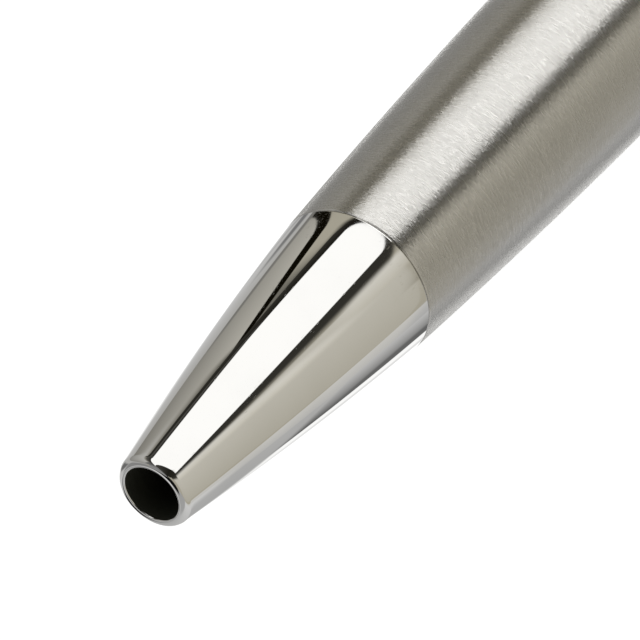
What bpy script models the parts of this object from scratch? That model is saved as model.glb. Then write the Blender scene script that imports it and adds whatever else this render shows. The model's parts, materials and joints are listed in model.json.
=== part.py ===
"""Twist-action ballpoint pen, lying on a table as a pen comes to rest, point toward -X.

Every piece is modelled upright on the pen's own axis, with height measured from the mouth of the
nose, and then laid down by its parent empty.  Lengths are in metres.
"""

import math

import bmesh
import bpy
from mathutils import Matrix, Vector

# Driving dimensions of the outside
BODY_RADIUS = 0.0050
NOSE_LENGTH = 0.0160
NOSE_REAR_RADIUS = 0.003885
NOSE_BULGE = 0.00015
LIP_THICKNESS = 0.00040
SEAM_GAP = 0.00010
SEAM_CHAMFER = 0.00008
BARREL_LENGTH = 0.0520
BARREL_SWELL_LENGTH = 0.0333
BARREL_STEP = 0.000015
RING_LENGTH = 0.0018
RING_RECESS = 0.00010
EDGE_CHAMFER = 0.00015
FINE_CHAMFER = 0.00005
FINIAL_LENGTH = 0.0054
FINIAL_FACE_RADIUS = 0.0022
FINIAL_BAND = 0.0014
FINIAL_RECESS = 0.00010

# Driving dimensions of the refill
POINT_DEPTH = 0.0012
STROKE = 0.0042
REFILL_LENGTH = 0.0980
REFILL_RADIUS = 0.0029
REFILL_WALL = 0.00040
BALL_RADIUS = 0.00050
BALL_CLEARANCE = 0.00006
BALL_SHOWS_SHARE = 0.6
SOCKET_WALL = 0.00014
CHANNEL_RADIUS = 0.00025
TIP_RADIUS = 0.001175
TIP_WALL = 0.00035
TIP_CONE_LENGTH = 0.0029
TIP_LENGTH = 0.0200
ADAPTER_PLACE = 0.0170
ADAPTER_FLANGE = 0.0010
ADAPTER_NECK = 0.0030
END_PLUG_FLANGE = 0.0020
END_PLUG_NECK = 0.0040
END_HOLE_RADIUS = 0.0006
INK_AIR_LENGTH = 0.0108

# Driving dimensions of the nose's inside and the return spring
MOUTH_CLEARANCE = 0.000175
SPRING_SEAT = 0.0078
SPRING_WIRE_RADIUS = 0.00020
SPRING_CLEARANCE = 0.00025
SPRING_CHAMBER_CLEARANCE = 0.00018
SPRING_END_GAP = 0.00030
SPRING_TURNS = 7
SPRING_POINTS_PER_TURN = 10
NOSE_BORE_CLEARANCE = 0.00010
NOSE_BORE_LEAD = 0.00040
NECK_LENGTH = 0.0070
NECK_WALL = 0.00030
THREAD_CLEARANCE = 0.00005
THREAD_RUNOUT = 0.0010

# Driving dimensions of the tubes and the twist mechanism
BARREL_WALL = 0.00050
CAP_WALL = 0.00040
SEAT_CLEARANCE = 0.00005
FACE_GAP = 0.00010
RUNNING_CLEARANCE = 0.00010
GUIDE_CLEARANCE = 0.00020
GUIDE_WALL = 0.00040
GUIDE_THREAD_HEIGHT = 0.00020
GUIDE_FLANGE_LENGTH = 0.00080
GUIDE_FLANGE_CLEARANCE = 0.00025
GUIDE_TAIL = 0.0020
BUSH_LENGTH = 0.0080
FRICTION_RING_RADIUS = 0.00032
RETAINER_LENGTH = 0.00080
RETAINER_HEIGHT = 0.00065
RETAINER_SLOT = 0.0016
RETAINER_TO_CAM = 0.0026
CAM_MARGIN = 0.0020
CAM_TURN_DEGREES = 150.0
LUG_RADIUS = 0.00065
LUG_SLOT_CLEARANCE = 0.00025
LUG_PLACE = 0.0068
LUG_TOP_CLEARANCE = 0.00020
PUSHER_LENGTH = 0.0100
PUSHER_CLEARANCE = 0.00010
PUSHER_CUP_DEPTH = 0.0016
PUSHER_CUP_RADIUS = 0.0019

# Driving dimensions of the cap's end and the clip
CAP_SPARE_LENGTH = 0.0100
PLUG_LENGTH = 0.0098
SCREW_RADIUS = 0.0010
SCREW_DEPTH_IN_PLUG = 0.0070
SCREW_DEPTH_IN_FINIAL = 0.0032
SCREW_END_GAP = 0.00030
CLIP_RING_RECESS = 0.00010
CLIP_LENGTH = 0.0385
CLIP_WIDTH = 0.0034
CLIP_TIP_WIDTH_SHARE = 0.76
CLIP_TIP_ROUNDING = 0.0014
CLIP_TIP_END_SHARE = 0.45
CLIP_THICKNESS = 0.00080
CLIP_POCKET = 0.0015
CLIP_TOUCH_GAP = 0.00015
CLIP_ROOT_GAP = 0.00020
CLIP_TAB_REACH = 0.00055
CLIP_BEND_RADIUS = 0.00150
CLIP_RAMP_LENGTH = 0.0046
CLIP_FLARE_LENGTH = 0.0020
CLIP_FLARE_HEIGHT = 0.00075
CLIP_EDGE = 0.00018

# Facet counts
BODY_SEGMENTS = 40
INNER_SEGMENTS = 28
SMALL_SEGMENTS = 20
NOSE_STEPS = 8
SWELL_STEPS = 7
ARC_STEPS = 5
DOME_STEPS = 6
RAMP_STEPS = 8
FLARE_STEPS = 5
BALL_SEGMENTS = 16
BALL_RINGS = 10
LIP_STEPS = 6
SLOT_ARC_STEPS = 8
SPRING_RESOLUTION = 1
HELIX_RESOLUTION = 2
CLIP_EDGE_SEGMENTS = 2
HELIX_POINTS = 26

# Heights along the pen, from the mouth of the nose
NECK_END = NOSE_LENGTH + NECK_LENGTH
BARREL_START = NOSE_LENGTH + SEAM_GAP
SWELL_END = BARREL_START + BARREL_SWELL_LENGTH
BARREL_END = BARREL_START + BARREL_LENGTH
RING_START = BARREL_END + FACE_GAP
RING_END = RING_START + RING_LENGTH
FLANGE_START = RING_END + FACE_GAP
FLANGE_END = FLANGE_START + GUIDE_FLANGE_LENGTH
CAP_START = RING_END + FACE_GAP
FRICTION_PLACE = FLANGE_END + FACE_GAP + FRICTION_RING_RADIUS
LINER_START = FRICTION_PLACE + FRICTION_RING_RADIUS + FACE_GAP
REFILL_END = POINT_DEPTH + REFILL_LENGTH
PUSHER_START = REFILL_END + FACE_GAP
PUSHER_END = PUSHER_START + PUSHER_LENGTH
LUG_REST = PUSHER_START + LUG_PLACE
LUG_SLOT_RADIUS = LUG_RADIUS + LUG_SLOT_CLEARANCE
CAM_START = LUG_REST - STROKE - LUG_SLOT_RADIUS - CAM_MARGIN
CAM_END = LUG_REST + LUG_SLOT_RADIUS + CAM_MARGIN
RETAINER_END = CAM_START - RETAINER_TO_CAM
RETAINER_START = RETAINER_END - RETAINER_LENGTH
LINER_END = RETAINER_START - RUNNING_CLEARANCE
GUIDE_END = PUSHER_END + GUIDE_TAIL
PLUG_START = GUIDE_END + CAP_SPARE_LENGTH
PLUG_END = PLUG_START + PLUG_LENGTH
CAP_END = PLUG_END + FACE_GAP
CLIP_RING_START = CAP_END + FACE_GAP
CLIP_RING_END = CLIP_RING_START + CLIP_THICKNESS
FINIAL_START = CLIP_RING_END + FACE_GAP
FINIAL_END = FINIAL_START + FINIAL_LENGTH

# Radii, from the refill outward and from the body inward
MOUTH_RADIUS = TIP_RADIUS + MOUTH_CLEARANCE
LIP_RADIUS = MOUTH_RADIUS + LIP_THICKNESS
SPRING_MEAN_RADIUS = TIP_RADIUS + SPRING_CLEARANCE + SPRING_WIRE_RADIUS
CHAMBER_RADIUS = SPRING_MEAN_RADIUS + SPRING_WIRE_RADIUS + SPRING_CHAMBER_CLEARANCE
NOSE_BORE_RADIUS = REFILL_RADIUS + NOSE_BORE_CLEARANCE
NECK_RADIUS = NOSE_BORE_RADIUS + NECK_WALL
BARREL_THREAD_RADIUS = NECK_RADIUS + THREAD_CLEARANCE
BARREL_FRONT_RADIUS = NOSE_REAR_RADIUS + BARREL_STEP
BARREL_BORE_RADIUS = BODY_RADIUS - BARREL_WALL
CAP_BORE_RADIUS = BODY_RADIUS - CAP_WALL
GUIDE_BORE_RADIUS = REFILL_RADIUS + GUIDE_CLEARANCE
GUIDE_RADIUS = GUIDE_BORE_RADIUS + GUIDE_WALL
GUIDE_THREAD_RADIUS = GUIDE_RADIUS + GUIDE_THREAD_HEIGHT
BUSH_BORE_RADIUS = GUIDE_THREAD_RADIUS + THREAD_CLEARANCE
LINER_BORE_RADIUS = GUIDE_RADIUS + RUNNING_CLEARANCE
CAP_SEAT_RADIUS = CAP_BORE_RADIUS - SEAT_CLEARANCE
SCREW_BORE_RADIUS = SCREW_RADIUS + THREAD_CLEARANCE
REFILL_BORE_RADIUS = REFILL_RADIUS - REFILL_WALL
REFILL_NECK_RADIUS = REFILL_BORE_RADIUS - SEAT_CLEARANCE
CLIP_INNER_RADIUS = BODY_RADIUS + CLIP_POCKET
CLIP_OUTER_RADIUS = CLIP_INNER_RADIUS + CLIP_THICKNESS
CLIP_RING_RADIUS = BODY_RADIUS - CLIP_RING_RECESS
CLIP_TAB_RADIUS = CLIP_RING_RADIUS + CLIP_TAB_REACH
CLIP_ROOT_RADIUS = CLIP_TAB_RADIUS + CLIP_ROOT_GAP

COLLECTION_NAME = "ballpoint_pen"
CUTTER_COLLECTION_NAME = "cutters"
SHARP_ANGLE = math.radians(32)
MERGE_DISTANCE = 0.000002
CUT_OVERRUN = 0.0010


def clear_scene():
    """Remove every object that the file opened with."""
    for thing in list(bpy.data.objects):
        bpy.data.objects.remove(thing, do_unlink=True)


def new_collection(name):
    """Return a new collection linked to the scene."""
    collection = bpy.data.collections.new(name)
    bpy.context.scene.collection.children.link(collection)
    return collection


def new_material(name, colour, roughness, metallic):
    """Return a Principled BSDF material with one colour."""
    material = bpy.data.materials.new(name)
    material.use_nodes = True
    shader = material.node_tree.nodes["Principled BSDF"]
    shader.inputs["Base Color"].default_value = (*colour, 1.0)
    shader.inputs["Roughness"].default_value = roughness
    shader.inputs["Metallic"].default_value = metallic
    material.diffuse_color = (*colour, 1.0)
    return material


def new_empty(name, parent):
    """Return an empty on the pen's axis, at its parent's origin."""
    empty = bpy.data.objects.new(name, None)
    parts.objects.link(empty)
    empty.parent = parent
    return empty


def finish(thing):
    """Turn an object's modifiers into its own mesh and shade its round faces smooth."""
    graph = bpy.context.evaluated_depsgraph_get()
    old_data = thing.data
    mesh = bpy.data.meshes.new_from_object(thing.evaluated_get(graph), depsgraph=graph)
    thing.modifiers.clear()
    thing.data = mesh
    bpy.data.meshes.remove(old_data)
    mesh.name = thing.name
    mesh.shade_smooth()
    mesh.set_sharp_from_angle(angle=SHARP_ANGLE)
    return thing


def turned(name, outline, parent, material, closed=True, segments=INNER_SEGMENTS):
    """Turn an outline of (radius, height) points, its outer side from top to bottom."""
    mesh = bpy.data.meshes.new(name)
    points = [(radius, 0, height) for radius, height in outline]
    edges = [(index, index + 1) for index in range(len(points) - 1)]
    if closed:
        edges.append((len(points) - 1, 0))
    mesh.from_pydata(points, edges, [])
    mesh.materials.append(material)
    thing = bpy.data.objects.new(name, mesh)
    parts.objects.link(thing)
    thing.parent = parent
    screw = thing.modifiers.new("turn", "SCREW")
    screw.axis = "Z"
    screw.steps = segments
    screw.render_steps = segments
    screw.use_merge_vertices = True
    screw.merge_threshold = MERGE_DISTANCE
    return finish(thing)


def hide_cutter(thing):
    """Move an object to the cutters, as a wire that is not part of the pen."""
    for collection in list(thing.users_collection):
        collection.objects.unlink(thing)
    cutters.objects.link(thing)
    thing.hide_render = True
    thing.display_type = "WIRE"
    return thing


def solid_from_curve(name, curve, matrix, parent, material):
    """Return a curve's closed mesh as an object, its caps welded to its sides."""
    maker = bpy.data.objects.new(name, curve)
    parts.objects.link(maker)
    graph = bpy.context.evaluated_depsgraph_get()
    mesh = bpy.data.meshes.new_from_object(maker.evaluated_get(graph), depsgraph=graph)
    bpy.data.objects.remove(maker, do_unlink=True)
    shape = bmesh.new()
    shape.from_mesh(mesh)
    bmesh.ops.remove_doubles(shape, verts=shape.verts, dist=MERGE_DISTANCE)
    bmesh.ops.transform(shape, matrix=matrix, verts=shape.verts)
    bmesh.ops.recalc_face_normals(shape, faces=shape.faces)
    shape.to_mesh(mesh)
    shape.free()
    mesh.name = name
    if material:
        mesh.materials.clear()
        mesh.materials.append(material)
    thing = bpy.data.objects.new(name, mesh)
    parts.objects.link(thing)
    thing.parent = parent
    mesh.shade_smooth()
    mesh.set_sharp_from_angle(angle=SHARP_ANGLE)
    return thing


def line_curve(name, points, closed):
    """Return a curve of straight runs through these points."""
    curve = bpy.data.curves.new(name, "CURVE")
    curve.dimensions = "3D"
    spline = curve.splines.new("POLY")
    spline.points.add(len(points) - 1)
    for point, place in zip(spline.points, points):
        point.co = (*place, 1.0)
    spline.use_cyclic_u = closed
    return curve


def tube(name, points, radius, parent, material, resolution):
    """Return a round tube along these points, with flat ends."""
    curve = line_curve(name, points, closed=False)
    curve.bevel_depth = radius
    curve.bevel_resolution = resolution
    curve.use_fill_caps = True
    return solid_from_curve(name, curve, Matrix.Identity(4), parent, material)


def plate(name, outline, half_thickness, matrix, parent, material):
    """Return a flat outline made thick, moved from its own plane by a matrix."""
    curve = line_curve(name, [(x, y, 0) for x, y in outline], closed=True)
    curve.dimensions = "2D"
    curve.fill_mode = "BOTH"
    curve.extrude = half_thickness
    return solid_from_curve(name, curve, matrix, parent, material)


def rod(name, radius, half_length, matrix, parent, material, segments=SMALL_SEGMENTS):
    """Return a closed cylinder about its own middle, moved by a matrix."""
    shape = bmesh.new()
    bmesh.ops.create_cone(
        shape,
        cap_ends=True,
        segments=segments,
        radius1=radius,
        radius2=radius,
        depth=2 * half_length,
        matrix=matrix,
    )
    mesh = bpy.data.meshes.new(name)
    shape.to_mesh(mesh)
    shape.free()
    mesh.materials.append(material)
    thing = bpy.data.objects.new(name, mesh)
    parts.objects.link(thing)
    thing.parent = parent
    return thing


def boolean(thing, operation, *others):
    """Cut other solids from a piece or join them to it, and put the others away."""
    for other in others:
        step = thing.modifiers.new(other.name, "BOOLEAN")
        step.operation = operation
        step.solver = "EXACT"
        step.object = hide_cutter(other)
    return finish(thing)


def arc(centre, radius, start, end, steps):
    """Return points of an arc round (radius, height), angles in degrees from the outward way."""
    angles = [math.radians(start + (end - start) * step / steps) for step in range(steps + 1)]
    return [(centre[0] + radius * math.cos(a), centre[1] + radius * math.sin(a)) for a in angles]


def sleeve(outer, inner, bottom, top, chamfer):
    """Return the outline of a plain tube with chamfered outer edges."""
    return [
        (outer - chamfer, top),
        (outer, top - chamfer),
        (outer, bottom + chamfer),
        (outer - chamfer, bottom),
        (inner, bottom),
        (inner, top),
    ]


def nose_radius(height):
    """Return the radius of the nose's gently convex side at a height."""
    share = height / NOSE_LENGTH
    straight = LIP_RADIUS + (NOSE_REAR_RADIUS - LIP_RADIUS) * share
    return straight + 4 * NOSE_BULGE * share * (1 - share)


def barrel_radius(height):
    """Return the radius of the barrel, which swells from the seam to a plain cylinder."""
    share = min(1.0, (height - BARREL_START) / BARREL_SWELL_LENGTH)
    return BODY_RADIUS - (BODY_RADIUS - BARREL_FRONT_RADIUS) * (1 - share) ** 2


def make_nose(parent):
    """Make the polished nose cone: rounded lip, convex side and a neck that enters the barrel."""
    lip = LIP_THICKNESS / 2
    side_start = lip
    side_end = NOSE_LENGTH - SEAM_CHAMFER
    heights = [side_end + (side_start - side_end) * step / NOSE_STEPS for step in range(NOSE_STEPS + 1)]
    side = [(nose_radius(height), height) for height in heights[:-1]]
    rounding = arc((MOUTH_RADIUS + lip, lip), lip, 0, -180, LIP_STEPS)
    bore_start = ADAPTER_PLACE + POINT_DEPTH - STROKE - NOSE_BORE_LEAD
    outline = [
        (NECK_RADIUS - EDGE_CHAMFER, NECK_END),
        (NECK_RADIUS, NECK_END - EDGE_CHAMFER),
        (NECK_RADIUS, NOSE_LENGTH),
        (NOSE_REAR_RADIUS - SEAM_CHAMFER, NOSE_LENGTH),
        *side,
        *rounding,
        (MOUTH_RADIUS, SPRING_SEAT),
        (CHAMBER_RADIUS, SPRING_SEAT),
        (CHAMBER_RADIUS, bore_start - NOSE_BORE_RADIUS + CHAMBER_RADIUS),
        (NOSE_BORE_RADIUS, bore_start),
        (NOSE_BORE_RADIUS, NECK_END),
    ]
    return turned("nose_cone", outline, parent, polished, segments=BODY_SEGMENTS)


def make_barrel(parent):
    """Make the brushed lower barrel, threaded in front and bored for the bush behind."""
    thread_end = NECK_END + THREAD_RUNOUT
    swell = [
        (barrel_radius(height), height)
        for height in (
            SWELL_END + (BARREL_START + SEAM_CHAMFER - SWELL_END) * step / SWELL_STEPS
            for step in range(SWELL_STEPS + 1)
        )
    ]
    outline = [
        (BODY_RADIUS - EDGE_CHAMFER, BARREL_END),
        (BODY_RADIUS, BARREL_END - EDGE_CHAMFER),
        *swell,
        (BARREL_FRONT_RADIUS - SEAM_CHAMFER, BARREL_START),
        (BARREL_THREAD_RADIUS, BARREL_START),
        (BARREL_THREAD_RADIUS, thread_end),
        (BARREL_BORE_RADIUS, SWELL_END),
        (BARREL_BORE_RADIUS, BARREL_END),
    ]
    return turned("lower_barrel", outline, parent, brushed, segments=BODY_SEGMENTS)


def make_rear_bush(parent):
    """Make the brass bush in the barrel's rear end, which the guide tube screws into."""
    outer = BARREL_BORE_RADIUS - SEAT_CLEARANCE
    outline = sleeve(outer, BUSH_BORE_RADIUS, BARREL_END - BUSH_LENGTH, BARREL_END, EDGE_CHAMFER)
    return turned("rear_bush", outline, parent, brass)


def make_centre_ring(parent):
    """Make the polished ring between the barrel and the cap."""
    outer = BODY_RADIUS - RING_RECESS
    outline = sleeve(outer, BUSH_BORE_RADIUS, RING_START, RING_END, EDGE_CHAMFER)
    return turned("centre_ring", outline, parent, polished, segments=BODY_SEGMENTS)


def slot_cutter(name, front, rear, radius, half_length, parent):
    """Make a bar with round edges that cuts a straight slot through both sides of a tube."""
    outline = [
        *arc((0, rear), radius, 0, 180, SLOT_ARC_STEPS),
        *arc((0, front), radius, 180, 360, SLOT_ARC_STEPS),
    ]
    across = Matrix.Rotation(math.radians(90), 4, "Z") @ Matrix.Rotation(math.radians(90), 4, "X")
    return plate(name, outline, half_length, across, parent, steel)


def make_guide_tube(parent):
    """Make the steel tube that carries the cap, with two straight slots for the pusher's lugs."""
    start = BARREL_END - BUSH_LENGTH
    flange_radius = CAP_BORE_RADIUS - GUIDE_FLANGE_CLEARANCE
    outline = [
        (GUIDE_RADIUS - EDGE_CHAMFER, GUIDE_END),
        (GUIDE_RADIUS, GUIDE_END - EDGE_CHAMFER),
        (GUIDE_RADIUS, FLANGE_END),
        (flange_radius, FLANGE_END),
        (flange_radius, FLANGE_START),
        (GUIDE_THREAD_RADIUS, FLANGE_START),
        (GUIDE_THREAD_RADIUS, start + EDGE_CHAMFER),
        (GUIDE_THREAD_RADIUS - EDGE_CHAMFER, start),
        (GUIDE_BORE_RADIUS, start),
        (GUIDE_BORE_RADIUS, GUIDE_END),
    ]
    guide = turned("guide_tube", outline, parent, steel)
    front = LUG_REST - STROKE
    half_length = GUIDE_RADIUS + CUT_OVERRUN
    slot = slot_cutter("guide_slots", front, LUG_REST, LUG_SLOT_RADIUS, half_length, parent)
    return boolean(guide, "DIFFERENCE", slot)


def make_friction_ring(parent):
    """Make the rubber ring that holds the cap at the turn it is left at."""
    middle = (GUIDE_RADIUS + CAP_BORE_RADIUS) / 2
    outline = arc((middle, FRICTION_PLACE), FRICTION_RING_RADIUS, 90, -270, SLOT_ARC_STEPS)[:-1]
    return turned("friction_ring", outline, parent, rubber)


def make_retaining_ring(parent):
    """Make the split ring that keeps the cap's liner on the guide tube."""
    inner = GUIDE_RADIUS + SEAT_CLEARANCE
    outer = inner + RETAINER_HEIGHT
    outline = sleeve(outer, inner, RETAINER_START, RETAINER_END, FINE_CHAMFER)
    ring = turned("retaining_ring", outline, parent, steel)
    size = (RETAINER_SLOT, outer, RETAINER_LENGTH + CUT_OVERRUN)
    middle = (0, outer, (RETAINER_START + RETAINER_END) / 2)
    gap = box("retaining_ring_gap", size, middle, parent, steel)
    return boolean(ring, "DIFFERENCE", gap)


def make_refill(parent):
    """Make the refill: tip, adapter, tube, ink and end plug, each a piece of its own."""
    return [
        make_refill_tip(parent),
        make_refill_adapter(parent),
        make_refill_tube(parent),
        make_refill_ink(parent),
        make_refill_end(parent),
    ]


def make_refill_tip(parent):
    """Make the steel tip: a cone with the ball's socket in front, and a narrow tube behind."""
    ball_centre = POINT_DEPTH + BALL_RADIUS
    socket = BALL_RADIUS + BALL_CLEARANCE
    lip = POINT_DEPTH + BALL_RADIUS * BALL_SHOWS_SHARE
    lip_bore = math.sqrt(socket**2 - (ball_centre - lip) ** 2)
    socket_end = ball_centre + socket
    cone_end = POINT_DEPTH + TIP_CONE_LENGTH
    tip_end = POINT_DEPTH + TIP_LENGTH
    bore = TIP_RADIUS - TIP_WALL
    outline = [
        (TIP_RADIUS, tip_end),
        (TIP_RADIUS, cone_end),
        (socket + SOCKET_WALL, ball_centre),
        (lip_bore + SOCKET_WALL, lip),
        (lip_bore, lip),
        (socket, ball_centre),
        (socket, socket_end - BALL_CLEARANCE),
        (CHANNEL_RADIUS, socket_end),
        (CHANNEL_RADIUS, cone_end),
        (bore, cone_end + bore),
        (bore, tip_end),
    ]
    return turned("refill_tip", outline, parent, tip_metal, segments=SMALL_SEGMENTS)


def make_refill_adapter(parent):
    """Make the adapter that holds the tip in the refill's tube and takes the spring's thrust."""
    start = POINT_DEPTH + ADAPTER_PLACE
    flange_end = start + ADAPTER_FLANGE
    outline = [
        (REFILL_NECK_RADIUS, flange_end + ADAPTER_NECK),
        (REFILL_NECK_RADIUS, flange_end),
        (REFILL_RADIUS, flange_end),
        (REFILL_RADIUS, start + EDGE_CHAMFER),
        (REFILL_RADIUS - EDGE_CHAMFER, start),
        (TIP_RADIUS + SEAT_CLEARANCE, start),
        (TIP_RADIUS + SEAT_CLEARANCE, flange_end + ADAPTER_NECK),
    ]
    return turned("refill_adapter", outline, parent, brass)


def refill_tube_span():
    """Return where the refill's tube starts and ends, between its adapter and its end plug."""
    start = POINT_DEPTH + ADAPTER_PLACE + ADAPTER_FLANGE + FACE_GAP
    end = REFILL_END - END_PLUG_FLANGE - FACE_GAP
    return start, end


def make_refill_tube(parent):
    """Make the refill's metal ink tube."""
    start, end = refill_tube_span()
    outline = sleeve(REFILL_RADIUS, REFILL_BORE_RADIUS, start, end, FINE_CHAMFER)
    return turned("refill_tube", outline, parent, refill_metal)


def make_refill_ink(parent):
    """Make the column of ink behind the adapter, with air left between it and the end plug."""
    start = refill_tube_span()[0] + ADAPTER_NECK + FACE_GAP
    end = REFILL_END - END_PLUG_FLANGE - END_PLUG_NECK - INK_AIR_LENGTH
    outline = [
        (0, end),
        (REFILL_NECK_RADIUS, end),
        (REFILL_NECK_RADIUS, start),
        (0, start),
    ]
    return turned("refill_ink", outline, parent, ink, closed=False)


def make_refill_end(parent):
    """Make the plug in the refill's rear end, with its air hole."""
    flange_start = REFILL_END - END_PLUG_FLANGE
    outline = [
        (REFILL_RADIUS - EDGE_CHAMFER, REFILL_END),
        (REFILL_RADIUS, REFILL_END - EDGE_CHAMFER),
        (REFILL_RADIUS, flange_start),
        (REFILL_NECK_RADIUS, flange_start),
        (REFILL_NECK_RADIUS, flange_start - END_PLUG_NECK),
        (END_HOLE_RADIUS, flange_start - END_PLUG_NECK),
        (END_HOLE_RADIUS, REFILL_END),
    ]
    return turned("refill_end_plug", outline, parent, plastic)


def make_ball(parent):
    """Make the writing ball, its origin at its own middle."""
    shape = bmesh.new()
    bmesh.ops.create_uvsphere(shape, u_segments=BALL_SEGMENTS, v_segments=BALL_RINGS, radius=BALL_RADIUS)
    mesh = bpy.data.meshes.new("writing_ball")
    shape.to_mesh(mesh)
    shape.free()
    mesh.materials.append(ball_metal)
    mesh.shade_smooth()
    ball = bpy.data.objects.new("writing_ball", mesh)
    parts.objects.link(ball)
    ball.parent = parent
    ball.location = (0, 0, POINT_DEPTH + BALL_RADIUS)
    return ball


def make_pusher(parent):
    """Make the pusher behind the refill, with a lug out of each side."""
    outer = GUIDE_BORE_RADIUS - PUSHER_CLEARANCE
    cup_floor = PUSHER_END - PUSHER_CUP_DEPTH
    outline = [
        (0, cup_floor),
        (PUSHER_CUP_RADIUS, cup_floor),
        (PUSHER_CUP_RADIUS, PUSHER_END),
        (outer - EDGE_CHAMFER, PUSHER_END),
        (outer, PUSHER_END - EDGE_CHAMFER),
        (outer, PUSHER_START + EDGE_CHAMFER),
        (outer - EDGE_CHAMFER, PUSHER_START),
        (0, PUSHER_START),
    ]
    pusher = turned("pusher", outline, parent, plastic, closed=False)
    across = Matrix.Translation((0, 0, LUG_REST)) @ Matrix.Rotation(math.radians(90), 4, "Y")
    reach = CAP_SEAT_RADIUS - LUG_TOP_CLEARANCE
    lugs = rod("pusher_lugs", LUG_RADIUS, reach, across, parent, plastic)
    return boolean(pusher, "UNION", lugs)


def spring_points():
    """Return the spring's middle line: a helix whose ends run straight for one wire diameter."""
    start = SPRING_SEAT + SPRING_END_GAP
    end = POINT_DEPTH + ADAPTER_PLACE - SPRING_END_GAP
    lead = 2 * SPRING_WIRE_RADIUS
    count = SPRING_TURNS * SPRING_POINTS_PER_TURN
    rise = (end - start - 2 * lead) / count
    points = [(SPRING_MEAN_RADIUS, 0, start)]
    for index in range(count + 1):
        angle = 2 * math.pi * index / SPRING_POINTS_PER_TURN
        height = start + lead + rise * index
        x = SPRING_MEAN_RADIUS * math.cos(angle)
        y = SPRING_MEAN_RADIUS * math.sin(angle)
        points.append((x, y, height))
    points.append((points[-1][0], points[-1][1], end))
    return points


def least_gap(points):
    """Return the least distance between the wire and itself, a half turn or more along it."""
    apart = SPRING_POINTS_PER_TURN // 2
    places = [Vector(point) for point in points]
    pairs = (
        (places[i] - places[j]).length
        for i in range(len(places))
        for j in range(i + apart, len(places))
    )
    return min(pairs) - 2 * SPRING_WIRE_RADIUS


def make_spring(parent):
    """Make the return spring round the refill's tip, between the nose's seat and the adapter."""
    points = spring_points()
    print("return spring, least gap to itself:", round(least_gap(points), 6), "m")
    return tube("return_spring", points, SPRING_WIRE_RADIUS, parent, steel, SPRING_RESOLUTION)


def make_cap_tube(parent):
    """Make the brushed cap, the tube that is turned to bring the point out."""
    outline = sleeve(BODY_RADIUS, CAP_BORE_RADIUS, CAP_START, CAP_END, EDGE_CHAMFER)
    return turned("cap_tube", outline, parent, brushed, segments=BODY_SEGMENTS)


def make_cap_liner(parent):
    """Make the brass liner that turns on the guide tube."""
    outline = sleeve(CAP_SEAT_RADIUS, LINER_BORE_RADIUS, LINER_START, LINER_END, EDGE_CHAMFER)
    return turned("cap_liner", outline, parent, brass)


def helix_cutter(name, first_angle, parent):
    """Make a round bar along a helix, which cuts the way of one lug through the cam sleeve."""
    radius = (LINER_BORE_RADIUS + CAP_SEAT_RADIUS) / 2
    turn = math.radians(CAM_TURN_DEGREES)
    path_length = math.hypot(radius * turn, STROKE)
    spare_share = LUG_SLOT_RADIUS / path_length
    points = []
    for index in range(HELIX_POINTS):
        share = -spare_share + (1 + 2 * spare_share) * index / (HELIX_POINTS - 1)
        angle = first_angle + turn * share
        height = LUG_REST - STROKE * share
        points.append((radius * math.cos(angle), radius * math.sin(angle), height))
    return tube(name, points, LUG_SLOT_RADIUS, parent, plastic, HELIX_RESOLUTION)


def make_cam_sleeve(parent):
    """Make the cam sleeve in the cap, whose two helical slots drive the pusher's lugs."""
    outline = sleeve(CAP_SEAT_RADIUS, LINER_BORE_RADIUS, CAM_START, CAM_END, EDGE_CHAMFER)
    cam = turned("cam_sleeve", outline, parent, plastic)
    first = helix_cutter("cam_slot_1", 0, parent)
    second = helix_cutter("cam_slot_2", math.pi, parent)
    return boolean(cam, "DIFFERENCE", first, second)


def make_cap_plug(parent):
    """Make the brass plug in the cap's rear end, which the finial's screw enters."""
    outline = sleeve(CAP_SEAT_RADIUS, SCREW_BORE_RADIUS, PLUG_START, PLUG_END, EDGE_CHAMFER)
    return turned("cap_plug", outline, parent, brass)


def make_clip_ring(parent):
    """Make the clip's ring under the finial, with the tab that carries the clip's arm."""
    outline = sleeve(CLIP_RING_RADIUS, SCREW_BORE_RADIUS, CLIP_RING_START, CLIP_RING_END, FINE_CHAMFER)
    ring = turned("clip_ring", outline, parent, polished, segments=BODY_SEGMENTS)
    tab_start = (SCREW_BORE_RADIUS + CLIP_RING_RADIUS) / 2
    size = (CLIP_TAB_RADIUS - tab_start, CLIP_WIDTH, CLIP_THICKNESS - 2 * FINE_CHAMFER)
    middle = ((CLIP_TAB_RADIUS + tab_start) / 2, 0, (CLIP_RING_START + CLIP_RING_END) / 2)
    tab = box("clip_tab", size, middle, parent, polished)
    return boolean(ring, "UNION", tab)


def box(name, size, middle, parent, material):
    """Return a box of this size about this middle."""
    shape = bmesh.new()
    matrix = Matrix.Translation(middle) @ Matrix.Diagonal((*size, 1.0))
    bmesh.ops.create_cube(shape, size=1.0, matrix=matrix)
    mesh = bpy.data.meshes.new(name)
    shape.to_mesh(mesh)
    shape.free()
    mesh.materials.append(material)
    thing = bpy.data.objects.new(name, mesh)
    parts.objects.link(thing)
    thing.parent = parent
    return thing


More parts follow.
